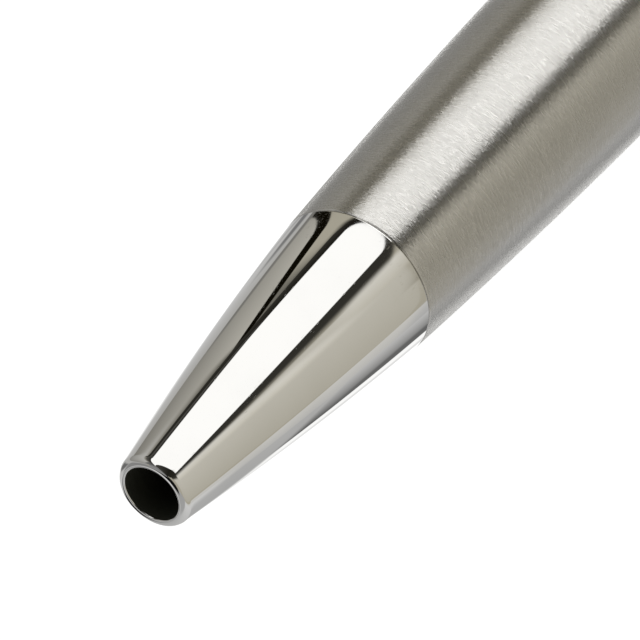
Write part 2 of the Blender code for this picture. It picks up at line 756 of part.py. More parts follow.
def clip_side():
    """Return the clip's side view as (radius, height): root, bend, straight arm, touch and flare."""
    top = CLIP_RING_END
    end = top - CLIP_LENGTH
    touch = end + CLIP_FLARE_LENGTH
    ramp_top = touch + CLIP_RAMP_LENGTH
    touch_radius = BODY_RADIUS + CLIP_TOUCH_GAP
    drop = CLIP_INNER_RADIUS - touch_radius
    inner = []
    for step in range(RAMP_STEPS + 1):
        share = step / RAMP_STEPS
        radius = CLIP_INNER_RADIUS - drop * (1 - math.cos(math.pi * share)) / 2
        inner.append((radius, ramp_top - CLIP_RAMP_LENGTH * share))
    for step in range(1, FLARE_STEPS + 1):
        share = step / FLARE_STEPS
        inner.append((touch_radius + CLIP_FLARE_HEIGHT * share**2, touch - CLIP_FLARE_LENGTH * share))
    outer = [(radius + CLIP_THICKNESS, height) for radius, height in inner]
    bend = (CLIP_OUTER_RADIUS - CLIP_BEND_RADIUS, top - CLIP_BEND_RADIUS)
    return [
        (CLIP_ROOT_RADIUS, top - CLIP_THICKNESS),
        (CLIP_ROOT_RADIUS, top),
        *arc(bend, CLIP_BEND_RADIUS, 90, 0, ARC_STEPS),
        *outer,
        *reversed(inner),
        *arc(bend, CLIP_BEND_RADIUS - CLIP_THICKNESS, 0, 90, ARC_STEPS),
    ]


def clip_width_share(height):
    """Return how wide the clip is at a height, as a share of its full width."""
    below = CLIP_RING_END - height
    taper = 1 - (1 - CLIP_TIP_WIDTH_SHARE) * below / CLIP_LENGTH
    into_end = max(0.0, below - (CLIP_LENGTH - CLIP_TIP_ROUNDING)) / CLIP_TIP_ROUNDING
    rounding = math.sqrt(1 - (1 - CLIP_TIP_END_SHARE**2) * into_end**2)
    return taper * rounding


def make_clip_arm(parent):
    """Make the clip's arm: a bent strip that narrows to a rounded end."""
    upright = Matrix.Rotation(math.radians(90), 4, "X")
    arm = plate("clip_arm", clip_side(), CLIP_WIDTH / 2, upright, parent, polished)
    for vertex in arm.data.vertices:
        vertex.co.y *= clip_width_share(vertex.co.z)
    arm.data.transform(Matrix.Translation(-parent.location))
    edges = arm.modifiers.new("edges", "BEVEL")
    edges.width = CLIP_EDGE
    edges.segments = CLIP_EDGE_SEGMENTS
    edges.limit_method = "ANGLE"
    edges.angle_limit = math.radians(45)
    return finish(arm)


def make_finial(parent):
    """Make the polished finial: a band, a dome and a small flat face at the pen's end."""
    outer = BODY_RADIUS - FINIAL_RECESS
    dome_height = FINIAL_LENGTH - FINIAL_BAND
    dome = []
    for step in range(DOME_STEPS + 1):
        angle = math.pi / 2 * step / DOME_STEPS
        radius = FINIAL_FACE_RADIUS + (outer - FINIAL_FACE_RADIUS) * math.sin(angle)
        dome.append((radius, FINIAL_START + FINIAL_BAND + dome_height * math.cos(angle)))
    outline = [
        (0, FINIAL_END),
        *dome,
        (outer, FINIAL_START + FINE_CHAMFER),
        (outer - FINE_CHAMFER, FINIAL_START),
        (SCREW_BORE_RADIUS, FINIAL_START),
        (SCREW_BORE_RADIUS, FINIAL_START + SCREW_DEPTH_IN_FINIAL),
        (0, FINIAL_START + SCREW_DEPTH_IN_FINIAL),
    ]
    return turned("finial", outline, parent, polished, closed=False, segments=BODY_SEGMENTS)


def make_finial_screw(parent):
    """Make the headless screw that ties the finial and the clip's ring to the cap's plug."""
    start = PLUG_END - SCREW_DEPTH_IN_PLUG
    end = FINIAL_START + SCREW_DEPTH_IN_FINIAL - SCREW_END_GAP
    outline = [
        (0, end),
        (SCREW_RADIUS - EDGE_CHAMFER, end),
        (SCREW_RADIUS, end - EDGE_CHAMFER),
        (SCREW_RADIUS, start + EDGE_CHAMFER),
        (SCREW_RADIUS - EDGE_CHAMFER, start),
        (0, start),
    ]
    return turned("finial_screw", outline, parent, steel, closed=False, segments=SMALL_SEGMENTS)


def rest_roll():
    """Return how far the clip is turned up from straight down when it and the body both touch."""
    reach = CLIP_OUTER_RADIUS - CLIP_EDGE
    half_width = CLIP_WIDTH / 2 - CLIP_EDGE
    across = math.hypot(reach, half_width)
    return math.atan2(half_width, reach) + math.acos((BODY_RADIUS - CLIP_EDGE) / across)


def lay_down(pen, pieces):
    """Lay the pen along X on the ground, with the middle of its box over the origin."""
    roll = rest_roll()
    clip_way = Vector((0, -math.sin(roll), -math.cos(roll)))
    pen_way = Vector((1, 0, 0))
    side_way = pen_way.cross(clip_way)
    turn = Matrix((clip_way, side_way, pen_way)).transposed()
    pen.matrix_world = turn.to_4x4()
    bpy.context.view_layer.update()
    corners = [piece.matrix_world @ vertex.co for piece in pieces for vertex in piece.data.vertices]
    low = [min(corner[axis] for corner in corners) for axis in range(3)]
    high = [max(corner[axis] for corner in corners) for axis in range(3)]
    pen.location = (-(low[0] + high[0]) / 2, -(low[1] + high[1]) / 2, -low[2])
    bpy.context.view_layer.update()
    print("pen's axis at", [round(value, 7) for value in pen.location], "clip turned", roll)


clear_scene()
parts = new_collection(COLLECTION_NAME)
cutters = new_collection(CUTTER_COLLECTION_NAME)

polished = new_material("polished_steel", (0.82, 0.81, 0.79), 0.05, 1.0)
brushed = new_material("brushed_steel", (0.56, 0.54, 0.51), 0.34, 1.0)
brass = new_material("brass", (0.78, 0.60, 0.30), 0.30, 1.0)
steel = new_material("plain_steel", (0.60, 0.60, 0.60), 0.30, 1.0)
rubber = new_material("rubber", (0.03, 0.03, 0.03), 0.80, 0.0)
plastic = new_material("moulded_plastic", (0.86, 0.85, 0.82), 0.45, 0.0)
tip_metal = new_material("tip_metal", (0.72, 0.70, 0.64), 0.20, 1.0)
ball_metal = new_material("ball_metal", (0.50, 0.50, 0.52), 0.10, 1.0)
refill_metal = new_material("refill_metal", (0.66, 0.66, 0.65), 0.28, 1.0)
ink = new_material("ink", (0.01, 0.02, 0.10), 0.30, 0.0)

pen_axis = new_empty("pen_axis", None)
nose_axis = new_empty("nose_axis", pen_axis)
cap_axis = new_empty("cap_axis", pen_axis)
clip_hinge = new_empty("clip_hinge", cap_axis)
clip_hinge.location = (CLIP_ROOT_RADIUS, 0, CLIP_RING_END - CLIP_THICKNESS / 2)
refill_axis = new_empty("refill_axis", pen_axis)

pieces = [
    make_nose(nose_axis),
    make_barrel(pen_axis),
    make_rear_bush(pen_axis),
    make_centre_ring(pen_axis),
    make_guide_tube(pen_axis),
    make_friction_ring(pen_axis),
    make_retaining_ring(pen_axis),
    make_spring(pen_axis),
    make_ball(refill_axis),
    *make_refill(refill_axis),
    make_pusher(refill_axis),
    make_cap_tube(cap_axis),
    make_cap_liner(cap_axis),
    make_cam_sleeve(cap_axis),
    make_cap_plug(cap_axis),
    make_clip_ring(cap_axis),
    make_finial_screw(cap_axis),
    make_finial(cap_axis),
    make_clip_arm(clip_hinge),
]
lay_down(pen_axis, pieces)
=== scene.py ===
"""Looks of the twist-action ballpoint pen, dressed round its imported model.

Each sub-assembly is a class that holds its sizes in metres and builds its own pieces; each finish
is a frozen dataclass that makes its material.  The pen lies on a pale table.  Its light is a world of
soft cards, whose places and tones were fitted to the reflections that the photograph shows.
"""

import json
import logging
import math
from collections.abc import Callable, Sequence
from dataclasses import dataclass, field
from enum import Enum
from functools import partial

import bmesh
import bpy
import numpy as np
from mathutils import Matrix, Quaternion, Vector


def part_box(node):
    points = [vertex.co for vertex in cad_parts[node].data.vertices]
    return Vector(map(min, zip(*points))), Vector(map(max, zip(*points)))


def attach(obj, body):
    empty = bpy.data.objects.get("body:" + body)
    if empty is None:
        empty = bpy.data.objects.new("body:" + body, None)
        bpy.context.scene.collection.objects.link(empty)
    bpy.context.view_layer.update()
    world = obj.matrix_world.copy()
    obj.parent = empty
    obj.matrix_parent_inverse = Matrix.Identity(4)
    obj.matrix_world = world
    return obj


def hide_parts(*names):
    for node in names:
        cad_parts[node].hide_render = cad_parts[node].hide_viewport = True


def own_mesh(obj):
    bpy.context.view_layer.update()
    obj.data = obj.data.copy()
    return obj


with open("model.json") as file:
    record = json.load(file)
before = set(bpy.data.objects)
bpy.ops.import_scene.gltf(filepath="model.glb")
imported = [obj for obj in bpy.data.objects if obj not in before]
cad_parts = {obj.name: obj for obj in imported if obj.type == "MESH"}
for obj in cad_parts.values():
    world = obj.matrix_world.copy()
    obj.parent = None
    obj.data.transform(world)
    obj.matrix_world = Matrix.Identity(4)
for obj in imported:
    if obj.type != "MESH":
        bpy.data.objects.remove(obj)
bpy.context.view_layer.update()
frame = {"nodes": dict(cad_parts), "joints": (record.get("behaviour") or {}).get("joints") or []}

LOG = logging.getLogger("ballpoint_pen")
FULL_TURN = 2 * math.pi
SMOOTH_ANGLE = math.radians(40)
MERGE_DISTANCE = 0.0000005
SAME_PLACE = 0.00001
LARGEST_ROUNDING = 0.48
DISPLAY_POWER = 2.2
RED_WARMTH = 0.5
BLUE_WARMTH = 1.5

Place = tuple[float, float]
Triple = tuple[float, float, float]
Colour = Triple
Offset = Callable[[np.ndarray, np.ndarray], np.ndarray]
Socket = bpy.types.NodeSocket


class Body(str, Enum):
    """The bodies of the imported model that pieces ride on."""

    BARREL = "barrel"
    NOSE = "nose"
    REFILL = "refill"
    BALL = "ball"
    CAP = "cap"
    CLIP = "clip"


class Detail(int, Enum):
    """How many facets a round piece has round it."""

    BODY = 288
    INNER = 96
    BALL = 64
    WIRE = 14


# The hand that builds shader nodes.


class Graph:
    """A thin hand for building one node tree."""

    def __init__(self, tree: bpy.types.NodeTree) -> None:
        """Take a node tree and empty it.

        Args:
            tree: The tree to build in.
        """
        self.tree = tree
        tree.nodes.clear()

    def fill(self, socket: Socket, value: object) -> None:
        """Link an input to a socket or give it a plain value; a colour may come without its alpha."""
        if isinstance(value, Socket):
            self.tree.links.new(value, socket)
        elif socket.type == "RGBA" and len(value) == 3:
            socket.default_value = (*value, 1.0)
        else:
            socket.default_value = value

    def add(self, kind: str, inputs: dict | None = None, **settings: object) -> bpy.types.Node:
        """Add a node, set its options and wire or fill its inputs.

        Args:
            kind: The node's type name.
            inputs: Input name or number to a socket to link or a plain value.
            **settings: Options of the node itself.

        Returns:
            The new node.
        """
        node = self.tree.nodes.new(kind)
        for key, value in settings.items():
            setattr(node, key, value)
        for key, value in (inputs or {}).items():
            self.fill(node.inputs[key], value)
        return node

    def math(self, operation: str, *values: object) -> Socket:
        """Add a math node.

        Args:
            operation: The name of the operation.
            *values: Sockets or numbers, in the node's order.

        Returns:
            The node's output.
        """
        return self.add("ShaderNodeMath", dict(enumerate(values)), operation=operation).outputs[0]

    def plus(self, first: object, second: object) -> Socket:
        """Return a sum."""
        return self.math("ADD", first, second)

    def minus(self, first: object, second: object) -> Socket:
        """Return a difference."""
        return self.math("SUBTRACT", first, second)

    def times(self, first: object, second: object) -> Socket:
        """Return a product."""
        return self.math("MULTIPLY", first, second)

    def smooth(self, value: object, low: object, high: object) -> Socket:
        """Return a smooth 0 to 1 step of a value between low and high."""
        limits = {"Value": value, "From Min": low, "From Max": high}
        return self.add("ShaderNodeMapRange", limits, interpolation_type="SMOOTHSTEP").outputs["Result"]

    def spread(self, value: object, low: float, high: float) -> Socket:
        """Return a 0 to 1 value stretched to run from low to high."""
        limits = {"Value": value, "To Min": low, "To Max": high}
        return self.add("ShaderNodeMapRange", limits).outputs["Result"]

    def blend(self, share: object, first: object, second: object) -> Socket:
        """Return a mix of two colours by a share."""
        return self.add("ShaderNodeMix", {0: share, 6: first, 7: second}, data_type="RGBA").outputs[2]

    def noise(self, place: object, detail: float = 2.0, scale: float = 1.0) -> Socket:
        """Return the value of a noise texture at a place."""
        return self.add("ShaderNodeTexNoise", {"Vector": place, "Scale": scale, "Detail": detail}).outputs[0]

    def stretched(self, place: object, factors: Triple) -> Socket:
        """Return a place with each of its three parts multiplied by its own factor."""
        return self.add("ShaderNodeVectorMath", {0: place, 1: factors}, operation="MULTIPLY").outputs[0]

    def scaled(self, place: object, factor: object) -> Socket:
        """Return a place multiplied by one factor."""
        return self.add("ShaderNodeVectorMath", {0: place, "Scale": factor}, operation="SCALE").outputs[0]


class Group(Graph):
    """The hand that builds a shader node group with named sockets."""

    def __init__(self, name: str, inputs: dict[str, float], outputs: Sequence[str]) -> None:
        """Make the group and its sockets.

        Args:
            name: The group's name.
            inputs: Input names with their usual values; a name that ends in Vector is a vector.
            outputs: Output names, all plain values.
        """
        tree = bpy.data.node_groups.new(name, "ShaderNodeTree")
        for key, value in inputs.items():
            kind = "NodeSocketVector" if key.endswith("Vector") else "NodeSocketFloat"
            socket = tree.interface.new_socket(key, in_out="INPUT", socket_type=kind)
            if kind == "NodeSocketFloat":
                socket.default_value = value
        for key in outputs:
            tree.interface.new_socket(key, in_out="OUTPUT", socket_type="NodeSocketFloat")
        super().__init__(tree)
        self.given = self.add("NodeGroupInput").outputs
        self.made = self.add("NodeGroupOutput").inputs

    def give(self, **outputs: Socket) -> bpy.types.NodeTree:
        """Link what the group puts out, and return its tree."""
        for key, value in outputs.items():
            self.tree.links.new(value, self.made[key])
        return self.tree


@dataclass
class SurfaceEffects:
    """The node groups that more than one finish uses, with the proportions of their patterns."""

    wide_streaks: Triple = (0.31, 0.20, 0.20)
    wide_share: float = 0.15
    streak_patches: Triple = (0.018, 0.09, 0.09)
    smudge_edges: Place = (0.45, 0.75)
    scratch_lines: Triple = (9.0, 60.0, 45.0)
    scratch_edges: Place = (0.66, 0.72)
    slow_wave: Triple = (0.5, 0.5, 0.5)
    uneven_feed: Triple = (2600.0, 300.0, 300.0)
    feed_drift: float = 5.0
    mottle: Triple = (0.06, 0.06, 0.06)
    groups: dict[str, bpy.types.NodeTree] = field(default_factory=dict)

    def build(self) -> None:
        """Build every group once."""
        for make in (self.brushing, self.handling, self.tool_marks, self.moulded_skin):
            self.groups[make.__name__] = make()

    def place(self, graph: Graph, name: str, **values: float) -> bpy.types.Node:
        """Place a group in a material at the piece's own coordinates.

        Args:
            graph: The material's graph.
            name: The group's name here.
            **values: Input values, with underscores for spaces.

        Returns:
            The group's node.
        """
        node = graph.add("ShaderNodeGroup")
        node.node_tree = self.groups[name]
        graph.fill(node.inputs["Place Vector"], graph.add("ShaderNodeTexCoord").outputs["Object"])
        for key, value in values.items():
            graph.fill(node.inputs[key.replace("_", " ")], value)
        return node

    def brushing(self) -> bpy.types.NodeTree:
        """Make short streaks that run round the pen, in two widths, with slow uneven patches."""
        inputs = {"Place Vector": 0.0, "Streaks per metre": 14000.0, "Streak share": 0.12}
        graph = Group("brushing", inputs, ("Height", "Streaks", "Patches"))
        parts = graph.add("ShaderNodeSeparateXYZ", {0: graph.given["Place Vector"]}).outputs
        along = graph.given["Streaks per metre"]
        across = graph.times(along, graph.given["Streak share"])
        places = {axis: graph.times(parts[axis], rate) for axis, rate in enumerate((along, across, across))}
        fine = graph.add("ShaderNodeCombineXYZ", places).outputs[0]
        narrow = graph.noise(fine, 3.0)
        wide = graph.noise(graph.stretched(fine, self.wide_streaks))
        streaks = graph.plus(graph.times(narrow, 1 - self.wide_share), graph.times(wide, self.wide_share))
        patches = graph.noise(graph.stretched(fine, self.streak_patches))
        return graph.give(Height=streaks, Streaks=graph.smooth(streaks, 0.3, 0.7), Patches=patches)

    def handling(self) -> bpy.types.NodeTree:
        """Make the faint smudges and hair-fine scratches of a polished piece in use."""
        inputs = {"Place Vector": 0.0, "Smudges per metre": 260.0}
        graph = Group("handling", inputs, ("Smudge", "Scratch", "Wave"))
        soft = graph.scaled(graph.given["Place Vector"], graph.given["Smudges per metre"])
        smudge = graph.smooth(graph.noise(soft, 4.0), *self.smudge_edges)
        lines = graph.noise(graph.stretched(soft, self.scratch_lines), 1.0)
        scratch = graph.times(graph.smooth(lines, *self.scratch_edges), smudge)
        wave = graph.noise(graph.stretched(soft, self.slow_wave), 1.0)
        return graph.give(Smudge=smudge, Scratch=scratch, Wave=wave)

    def tool_marks(self) -> bpy.types.NodeTree:
        """Make the fine feed lines that a lathe leaves on an inner piece."""
        graph = Group("tool_marks", {"Place Vector": 0.0, "Lines per metre": 9000.0}, ("Height", "Shade"))
        along = graph.add("ShaderNodeSeparateXYZ", {0: graph.given["Place Vector"]}).outputs[0]
        phase = graph.times(along, graph.times(graph.given["Lines per metre"], FULL_TURN))
        uneven = graph.noise(graph.stretched(graph.given["Place Vector"], self.uneven_feed))
        lines = graph.math("SINE", graph.plus(phase, graph.times(uneven, self.feed_drift)))
        return graph.give(Height=graph.times(graph.plus(lines, 1.0), 0.5), Shade=uneven)

    def moulded_skin(self) -> bpy.types.NodeTree:
        """Make the slight mottle and fine texture of moulded plastic and rubber."""
        graph = Group("moulded_skin", {"Place Vector": 0.0, "Grain per metre": 9000.0}, ("Height", "Mottle"))
        fine = graph.scaled(graph.given["Place Vector"], graph.given["Grain per metre"])
        mottle = graph.noise(graph.stretched(fine, self.mottle), 3.0)
        return graph.give(Height=graph.noise(fine, 3.0), Mottle=mottle)


# The finishes.


class Surface(Graph):
    """The hand that builds a material round its Principled shader."""

    def __init__(self, name: str) -> None:
        """Make the material with its shader wired out.

        Args:
            name: The finish's name.
        """
        self.material = bpy.data.materials.new(f"{name}_finish")
        self.material.use_nodes = True
        super().__init__(self.material.node_tree)
        self.shader = self.add("ShaderNodeBsdfPrincipled")
        self.add("ShaderNodeOutputMaterial", {"Surface": self.shader.outputs[0]})

    def raised(self, height: object, distance: float) -> Socket:
        """Return the normal of a surface raised by a height of 0 to 1 times a distance."""
        return self.add("ShaderNodeBump", {"Height": height, "Distance": distance}).outputs["Normal"]

    def wire(self, **sockets: object) -> bpy.types.Material:
        """Fill the shader's inputs, named with underscores for spaces, and return the material."""
        for key, value in sockets.items():
            self.fill(self.shader.inputs[key.replace("_", " ")], value)
        return self.material


def shaded(colour: Colour, factor: float) -> Colour:
    """Return a colour made lighter or darker by a factor."""
    return tuple(min(1.0, part * factor) for part in colour)


@dataclass(frozen=True)
class PolishedSteel:
    """Mirror polish with faint handling marks."""

    name: str = "polished_steel"
    colour: Colour = (0.80, 0.795, 0.78)
    smudge_shade: float = 0.97
    roughness: float = 0.019
    smudged: float = 0.040
    smudges_per_metre: float = 260.0
    scratch_depth: float = 0.0000004
    wave_height: float = 0.0000015

    def make(self, effects: SurfaceEffects) -> bpy.types.Material:
        """Make the material."""
        surface = Surface(self.name)
        marks = effects.place(surface, "handling", Smudges_per_metre=self.smudges_per_metre).outputs
        scratches = surface.times(marks["Scratch"], -self.scratch_depth)
        height = surface.plus(scratches, surface.times(marks["Wave"], self.wave_height))
        return surface.wire(
            Base_Color=surface.blend(marks["Smudge"], self.colour, shaded(self.colour, self.smudge_shade)),
            Roughness=surface.spread(marks["Smudge"], self.roughness, self.smudged),
            Metallic=1.0,
            Normal=surface.raised(height, 1.0),
        )


@dataclass(frozen=True)
class BrushedSteel:
    """Steel brushed round the pen: it spreads reflections along the pen and keeps them narrow round it."""

    name: str = "brushed_steel"
    colour: Colour = (0.68, 0.67, 0.645)
    dark_share: float = 0.84
    light_share: float = 1.10
    roughness_low: float = 0.25
    roughness_high: float = 0.34
    anisotropy: float = 1.0
    quarter_turn: float = 0.25
    streaks_per_metre: float = 26000.0
    streak_share: float = 0.09
    streak_height: float = 0.00003

    def make(self, effects: SurfaceEffects) -> bpy.types.Material:
        """Make the material."""
        surface = Surface(self.name)
        rates = {"Streaks_per_metre": self.streaks_per_metre, "Streak_share": self.streak_share}
        grain = effects.place(surface, "brushing", **rates).outputs
        ends = (shaded(self.colour, self.dark_share), shaded(self.colour, self.light_share))
        tone = surface.blend(grain["Streaks"], *ends)
        return surface.wire(
            Base_Color=surface.blend(surface.smooth(grain["Patches"], 0.2, 0.8), tone, self.colour),
            Roughness=surface.spread(grain["Streaks"], self.roughness_high, self.roughness_low),
            Metallic=1.0,
            Anisotropic=self.anisotropy,
            Anisotropic_Rotation=self.quarter_turn,
            Normal=surface.raised(grain["Height"], self.streak_height),
            Tangent=surface.add("ShaderNodeTangent", direction_type="RADIAL", axis="X").outputs[0],
        )


class Pattern(Enum):
    """What roughens a plainer finish: a node group, its rate and the mask that stains the colour."""

    TOOL_MARKS = ("tool_marks", "Lines per metre", "Shade")
    MOULDED_SKIN = ("moulded_skin", "Grain per metre", "Mottle")


@dataclass(frozen=True)
class TurnedMetal:
    """A machined metal with fine feed lines, for the inner pieces."""

    name: str
    colour: Colour
    stain: Colour
    roughness: float = 0.26
    smooth_share: float = 0.8
    rough_share: float = 1.3
    per_metre: float = 9000.0
    height: float = 0.0000012
    metallic: float = 1.0
    coat: float = 0.0
    pattern: Pattern = Pattern.TOOL_MARKS
    stain_edges: Place | None = (0.35, 0.7)

    def make(self, effects: SurfaceEffects) -> bpy.types.Material:
        """Make the material."""
        surface = Surface(self.name)
        group, rate, mask = self.pattern.value
        marks = effects.place(surface, group, **{rate: self.per_metre}).outputs
        share = surface.smooth(marks[mask], *self.stain_edges) if self.stain_edges else marks[mask]
        low, high = self.roughness * self.smooth_share, min(1.0, self.roughness * self.rough_share)
        return surface.wire(
            Base_Color=surface.blend(share, self.colour, self.stain),
            Roughness=surface.spread(share, low, high),
            Metallic=self.metallic,
            Coat_Weight=self.coat,
            Normal=surface.raised(marks["Height"], self.height),
        )


@dataclass(frozen=True)
class MouldedFinish(TurnedMetal):
    """A moulded plastic, a rubber or an ink, made as turned metal is but with a mottled skin."""

    roughness: float = 0.45
    smooth_share: float = 0.9
    rough_share: float = 1.15
    height: float = 0.000002
    metallic: float = 0.0
    pattern: Pattern = Pattern.MOULDED_SKIN


@dataclass(frozen=True)
class PaintedShadeBore(TurnedMetal):
    """The unpolished inside of a bore with its boring lines, its colour made dark as painted shade for the
    shade that falls deep inside it.
    """

    name: str = "painted_shade_bore"
    # painted shade: these dark colours stand in for the shade inside the bore
    colour: Colour = (0.075, 0.076, 0.058)
    stain: Colour = (0.032, 0.035, 0.026)
    roughness: float = 0.42
    smooth_share: float = 1.0
    rough_share: float = 1.4
    per_metre: float = 7000.0
    height: float = 0.000002
    metallic: float = 0.6
    stain_edges: Place | None = None


@dataclass
class Finishes:
    """Every material of the pen by its slot name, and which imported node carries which."""

    effects: SurfaceEffects
    made: dict[str, bpy.types.Material] = field(default_factory=dict)

    def build(self) -> None:
        """Make every material."""
        metal, moulded = TurnedMetal, MouldedFinish
        recipes = (
            PolishedSteel(),
            BrushedSteel(),
            metal("brass", (0.78, 0.58, 0.27), (0.62, 0.43, 0.19)),
            metal("plain_steel", (0.58, 0.58, 0.57), (0.44, 0.44, 0.43), roughness=0.30),
            moulded("rubber", (0.016, 0.016, 0.016), (0.03, 0.03, 0.03), roughness=0.7),
            moulded("moulded_plastic", (0.80, 0.79, 0.75), (0.72, 0.71, 0.66), roughness=0.42),
            metal("tip_metal", (0.62, 0.59, 0.50), (0.42, 0.40, 0.33), roughness=0.22, per_metre=14000.0),
            metal("ball_metal", (0.40, 0.40, 0.41), (0.33, 0.33, 0.34), roughness=0.12),
            metal("refill_metal", (0.62, 0.62, 0.61), (0.50, 0.50, 0.49), roughness=0.24),
            moulded("ink", (0.010, 0.016, 0.075), (0.006, 0.010, 0.05), roughness=0.2, coat=0.6),
            # painted shade: the bore's finish is dark to stand in for the shade inside it
            PaintedShadeBore(),
        )
        for recipe in recipes:
            self.made[recipe.name] = recipe.make(self.effects)

    def dress_nodes(self) -> None:
        """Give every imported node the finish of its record's slot."""
        for node in frame["nodes"].values():
            slots = node.data.materials
            for index, old in enumerate(list(slots)):
                slots[index] = self.made[old.name]


# The shapes that every sub-assembly is made of.


@dataclass(frozen=True)
class PenAxis:
    """The pen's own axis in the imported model: where the mouth lies and which way the clip points."""

    mouth: float
    across: float
    height: float
    clip_way: Vector
    side_way: Vector

    @classmethod
    def read(cls) -> "PenAxis":
        """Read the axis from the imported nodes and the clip's joint."""
        low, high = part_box("centre_ring")
        hinge = next(joint for joint in frame["joints"] if joint["child"] == Body.CLIP.value)
        side = -Vector(hinge["axis"]).normalized()
        across, height = (low.y + high.y) / 2, (low.z + high.z) / 2
        return cls(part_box("nose_cone")[0].x, across, height, side.cross(Vector((1, 0, 0))), side)

    def points(self, along: np.ndarray, out: np.ndarray, turn: np.ndarray) -> np.ndarray:
        """Return places in the model from distances along the pen, radii and turns from the clip.

        Args:
            along: Distances from the mouth.
            out: Radii.
            turn: Turns in radians, 0 at the clip.

        Returns:
            An array whose last axis holds x, y and z.
        """
        clip, side = np.array(self.clip_way), np.array(self.side_way)
        ways = np.cos(turn)[..., None] * clip + np.sin(turn)[..., None] * side
        whole = np.ones_like(along)
        base = np.stack([self.mouth + along, self.across * whole, self.height * whole], -1)
        return base + out[..., None] * ways

    def span(self, node: str) -> Place:
        """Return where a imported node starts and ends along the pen."""
        low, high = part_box(node)
        return low.x - self.mouth, high.x - self.mouth


def arc(centre: Place, radius: float, start: float, end: float, steps: int) -> list[Place]:
    """Return points of an arc.

    Args:
        centre: Its middle, as distance along the pen and radius from the axis.
        radius: Its radius.
        start: Its first angle in degrees, from the way along the pen toward the way out.
        end: Its last angle.
        steps: How many runs it has.

    Returns:
        The points, first and last included.
    """
    angles = np.radians(np.linspace(start, end, steps + 1))
    return [(centre[0] + radius * math.cos(a), centre[1] + radius * math.sin(a)) for a in angles]


def rounded(corners: Sequence[Triple], steps: int = 5) -> list[Place]:
    """Round the corners of a closed outline.

    Args:
        corners: Each corner's distance along the pen, its radius from the axis and its rounding.
        steps: How many runs each rounding has.

    Returns:
        The outline's points.
    """
    outline: list[Place] = []
    count = len(corners)
    for index, (along, out, size) in enumerate(corners):
        here = np.array((along, out))
        if size <= 0:
            outline.append((along, out))
            continue
        back = np.array(corners[index - 1][:2]) - here
        ahead = np.array(corners[(index + 1) % count][:2]) - here
        back_length, ahead_length = np.linalg.norm(back), np.linalg.norm(ahead)
        back, ahead = back / back_length, ahead / ahead_length
        half = math.acos(max(-1.0, min(1.0, float(back @ ahead)))) / 2
        reach = min(size / math.tan(half), LARGEST_ROUNDING * back_length, LARGEST_ROUNDING * ahead_length)
        start, end = here + back * reach, here + ahead * reach
        for share in (step / steps for step in range(steps + 1)):
            curve = (1 - share) ** 2 * start + 2 * share * (1 - share) * here + share**2 * end
            outline.append((float(curve[0]), float(curve[1])))
    return outline


@dataclass
class Maker:
    """What every sub-assembly builds with: the pen's axis and the finishes."""

    axis: PenAxis
    finishes: Finishes

    def solid(
        self,
        name: str,
        verts: Sequence[Sequence[float]],
        faces: Sequence[Sequence[int]],
        finishes: Sequence[str],
        slots: Sequence[int] = (),
    ) -> bpy.types.Object:
        """Make an object from points and faces, turned outward and shaded smooth.

        Args:
            name: The piece's name.
            verts: Its points.
            faces: Its faces, as numbers of points.
            finishes: The finishes of its slots.
            slots: Each face's slot, if it has more than one.

        Returns:
            The piece.
        """
        mesh = bpy.data.meshes.new(name)
        mesh.from_pydata([tuple(place) for place in verts], [], faces)
        if slots:
            mesh.polygons.foreach_set("material_index", slots)
        shape = bmesh.new()
        shape.from_mesh(mesh)
        bmesh.ops.remove_doubles(shape, verts=shape.verts, dist=MERGE_DISTANCE)
        bmesh.ops.recalc_face_normals(shape, faces=shape.faces)
        shape.to_mesh(mesh)
        shape.free()
        for key in finishes:
            mesh.materials.append(self.finishes.made[key])
        mesh.shade_smooth()
        mesh.set_sharp_from_angle(angle=SMOOTH_ANGLE)
        thing = bpy.data.objects.new(name, mesh)
        bpy.context.scene.collection.objects.link(thing)
        return thing

    def turned(
        self,
        name: str,
        outline: Sequence[Place],
        finishes: Sequence[str],
        segments: int = Detail.BODY.value,
        offset: Offset | None = None,
        closed: bool = True,
        paint: Callable[[float, float], int] | None = None,
    ) -> bpy.types.Object:
        """Turn an outline round the pen's axis.

        Args:
            name: The piece's name.
            outline: Points as distance along the pen and radius.
            finishes: The finishes of its slots.
            segments: How many facets it has round it.
            offset: What to add to a radius at a distance and turn, such as a thread.
            closed: Whether the outline's last point joins its first.
            paint: Which slot a face has, from its middle's distance and radius.

        Returns:
            The piece.
        """
        along, out = np.array(outline).T
        turns = np.arange(segments) * FULL_TURN / segments
        grid_along, grid_turn = np.meshgrid(along, turns, indexing="ij")
        grid_out = np.repeat(out[:, None], segments, axis=1)
        if offset is not None:
            grid_out = grid_out + offset(grid_along, grid_turn) * (grid_out > 0)
        verts = self.axis.points(grid_along, grid_out, grid_turn).reshape(-1, 3)
        rows = len(outline)
        faces, slots = [], []
        for row in range(rows if closed else rows - 1):
            after = (row + 1) % rows
            if out[row] == 0 and out[after] == 0:
                continue
            middle = ((along[row] + along[after]) / 2, (out[row] + out[after]) / 2)
            slots += [paint(*middle) if paint else 0] * segments
            here, there = row * segments, after * segments
            for index in range(segments):
                turn = (index + 1) % segments
                faces.append((here + index, here + turn, there + turn, there + index))
        return self.solid(name, verts, faces, finishes, slots)

    def seat(self, thing: bpy.types.Object, body: Body, slot: str, *nodes: str) -> bpy.types.Object:
        """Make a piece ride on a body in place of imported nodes, and report it."""
        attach(thing, body.value)
        if nodes:
            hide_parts(*nodes)
        LOG.info("%s rides on %s: %d faces", thing.name, body.value, len(thing.data.polygons))
        return thing

    def fit(
        self, body: Body, node: str, name: str, outline: Sequence[Place], *finishes: str, **options: object
    ) -> bpy.types.Object:
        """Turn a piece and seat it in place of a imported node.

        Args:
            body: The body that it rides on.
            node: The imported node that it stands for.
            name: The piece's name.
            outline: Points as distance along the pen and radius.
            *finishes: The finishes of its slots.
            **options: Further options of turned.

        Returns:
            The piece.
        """
        return self.seat(self.turned(name, outline, finishes, **options), body, finishes[0], node)


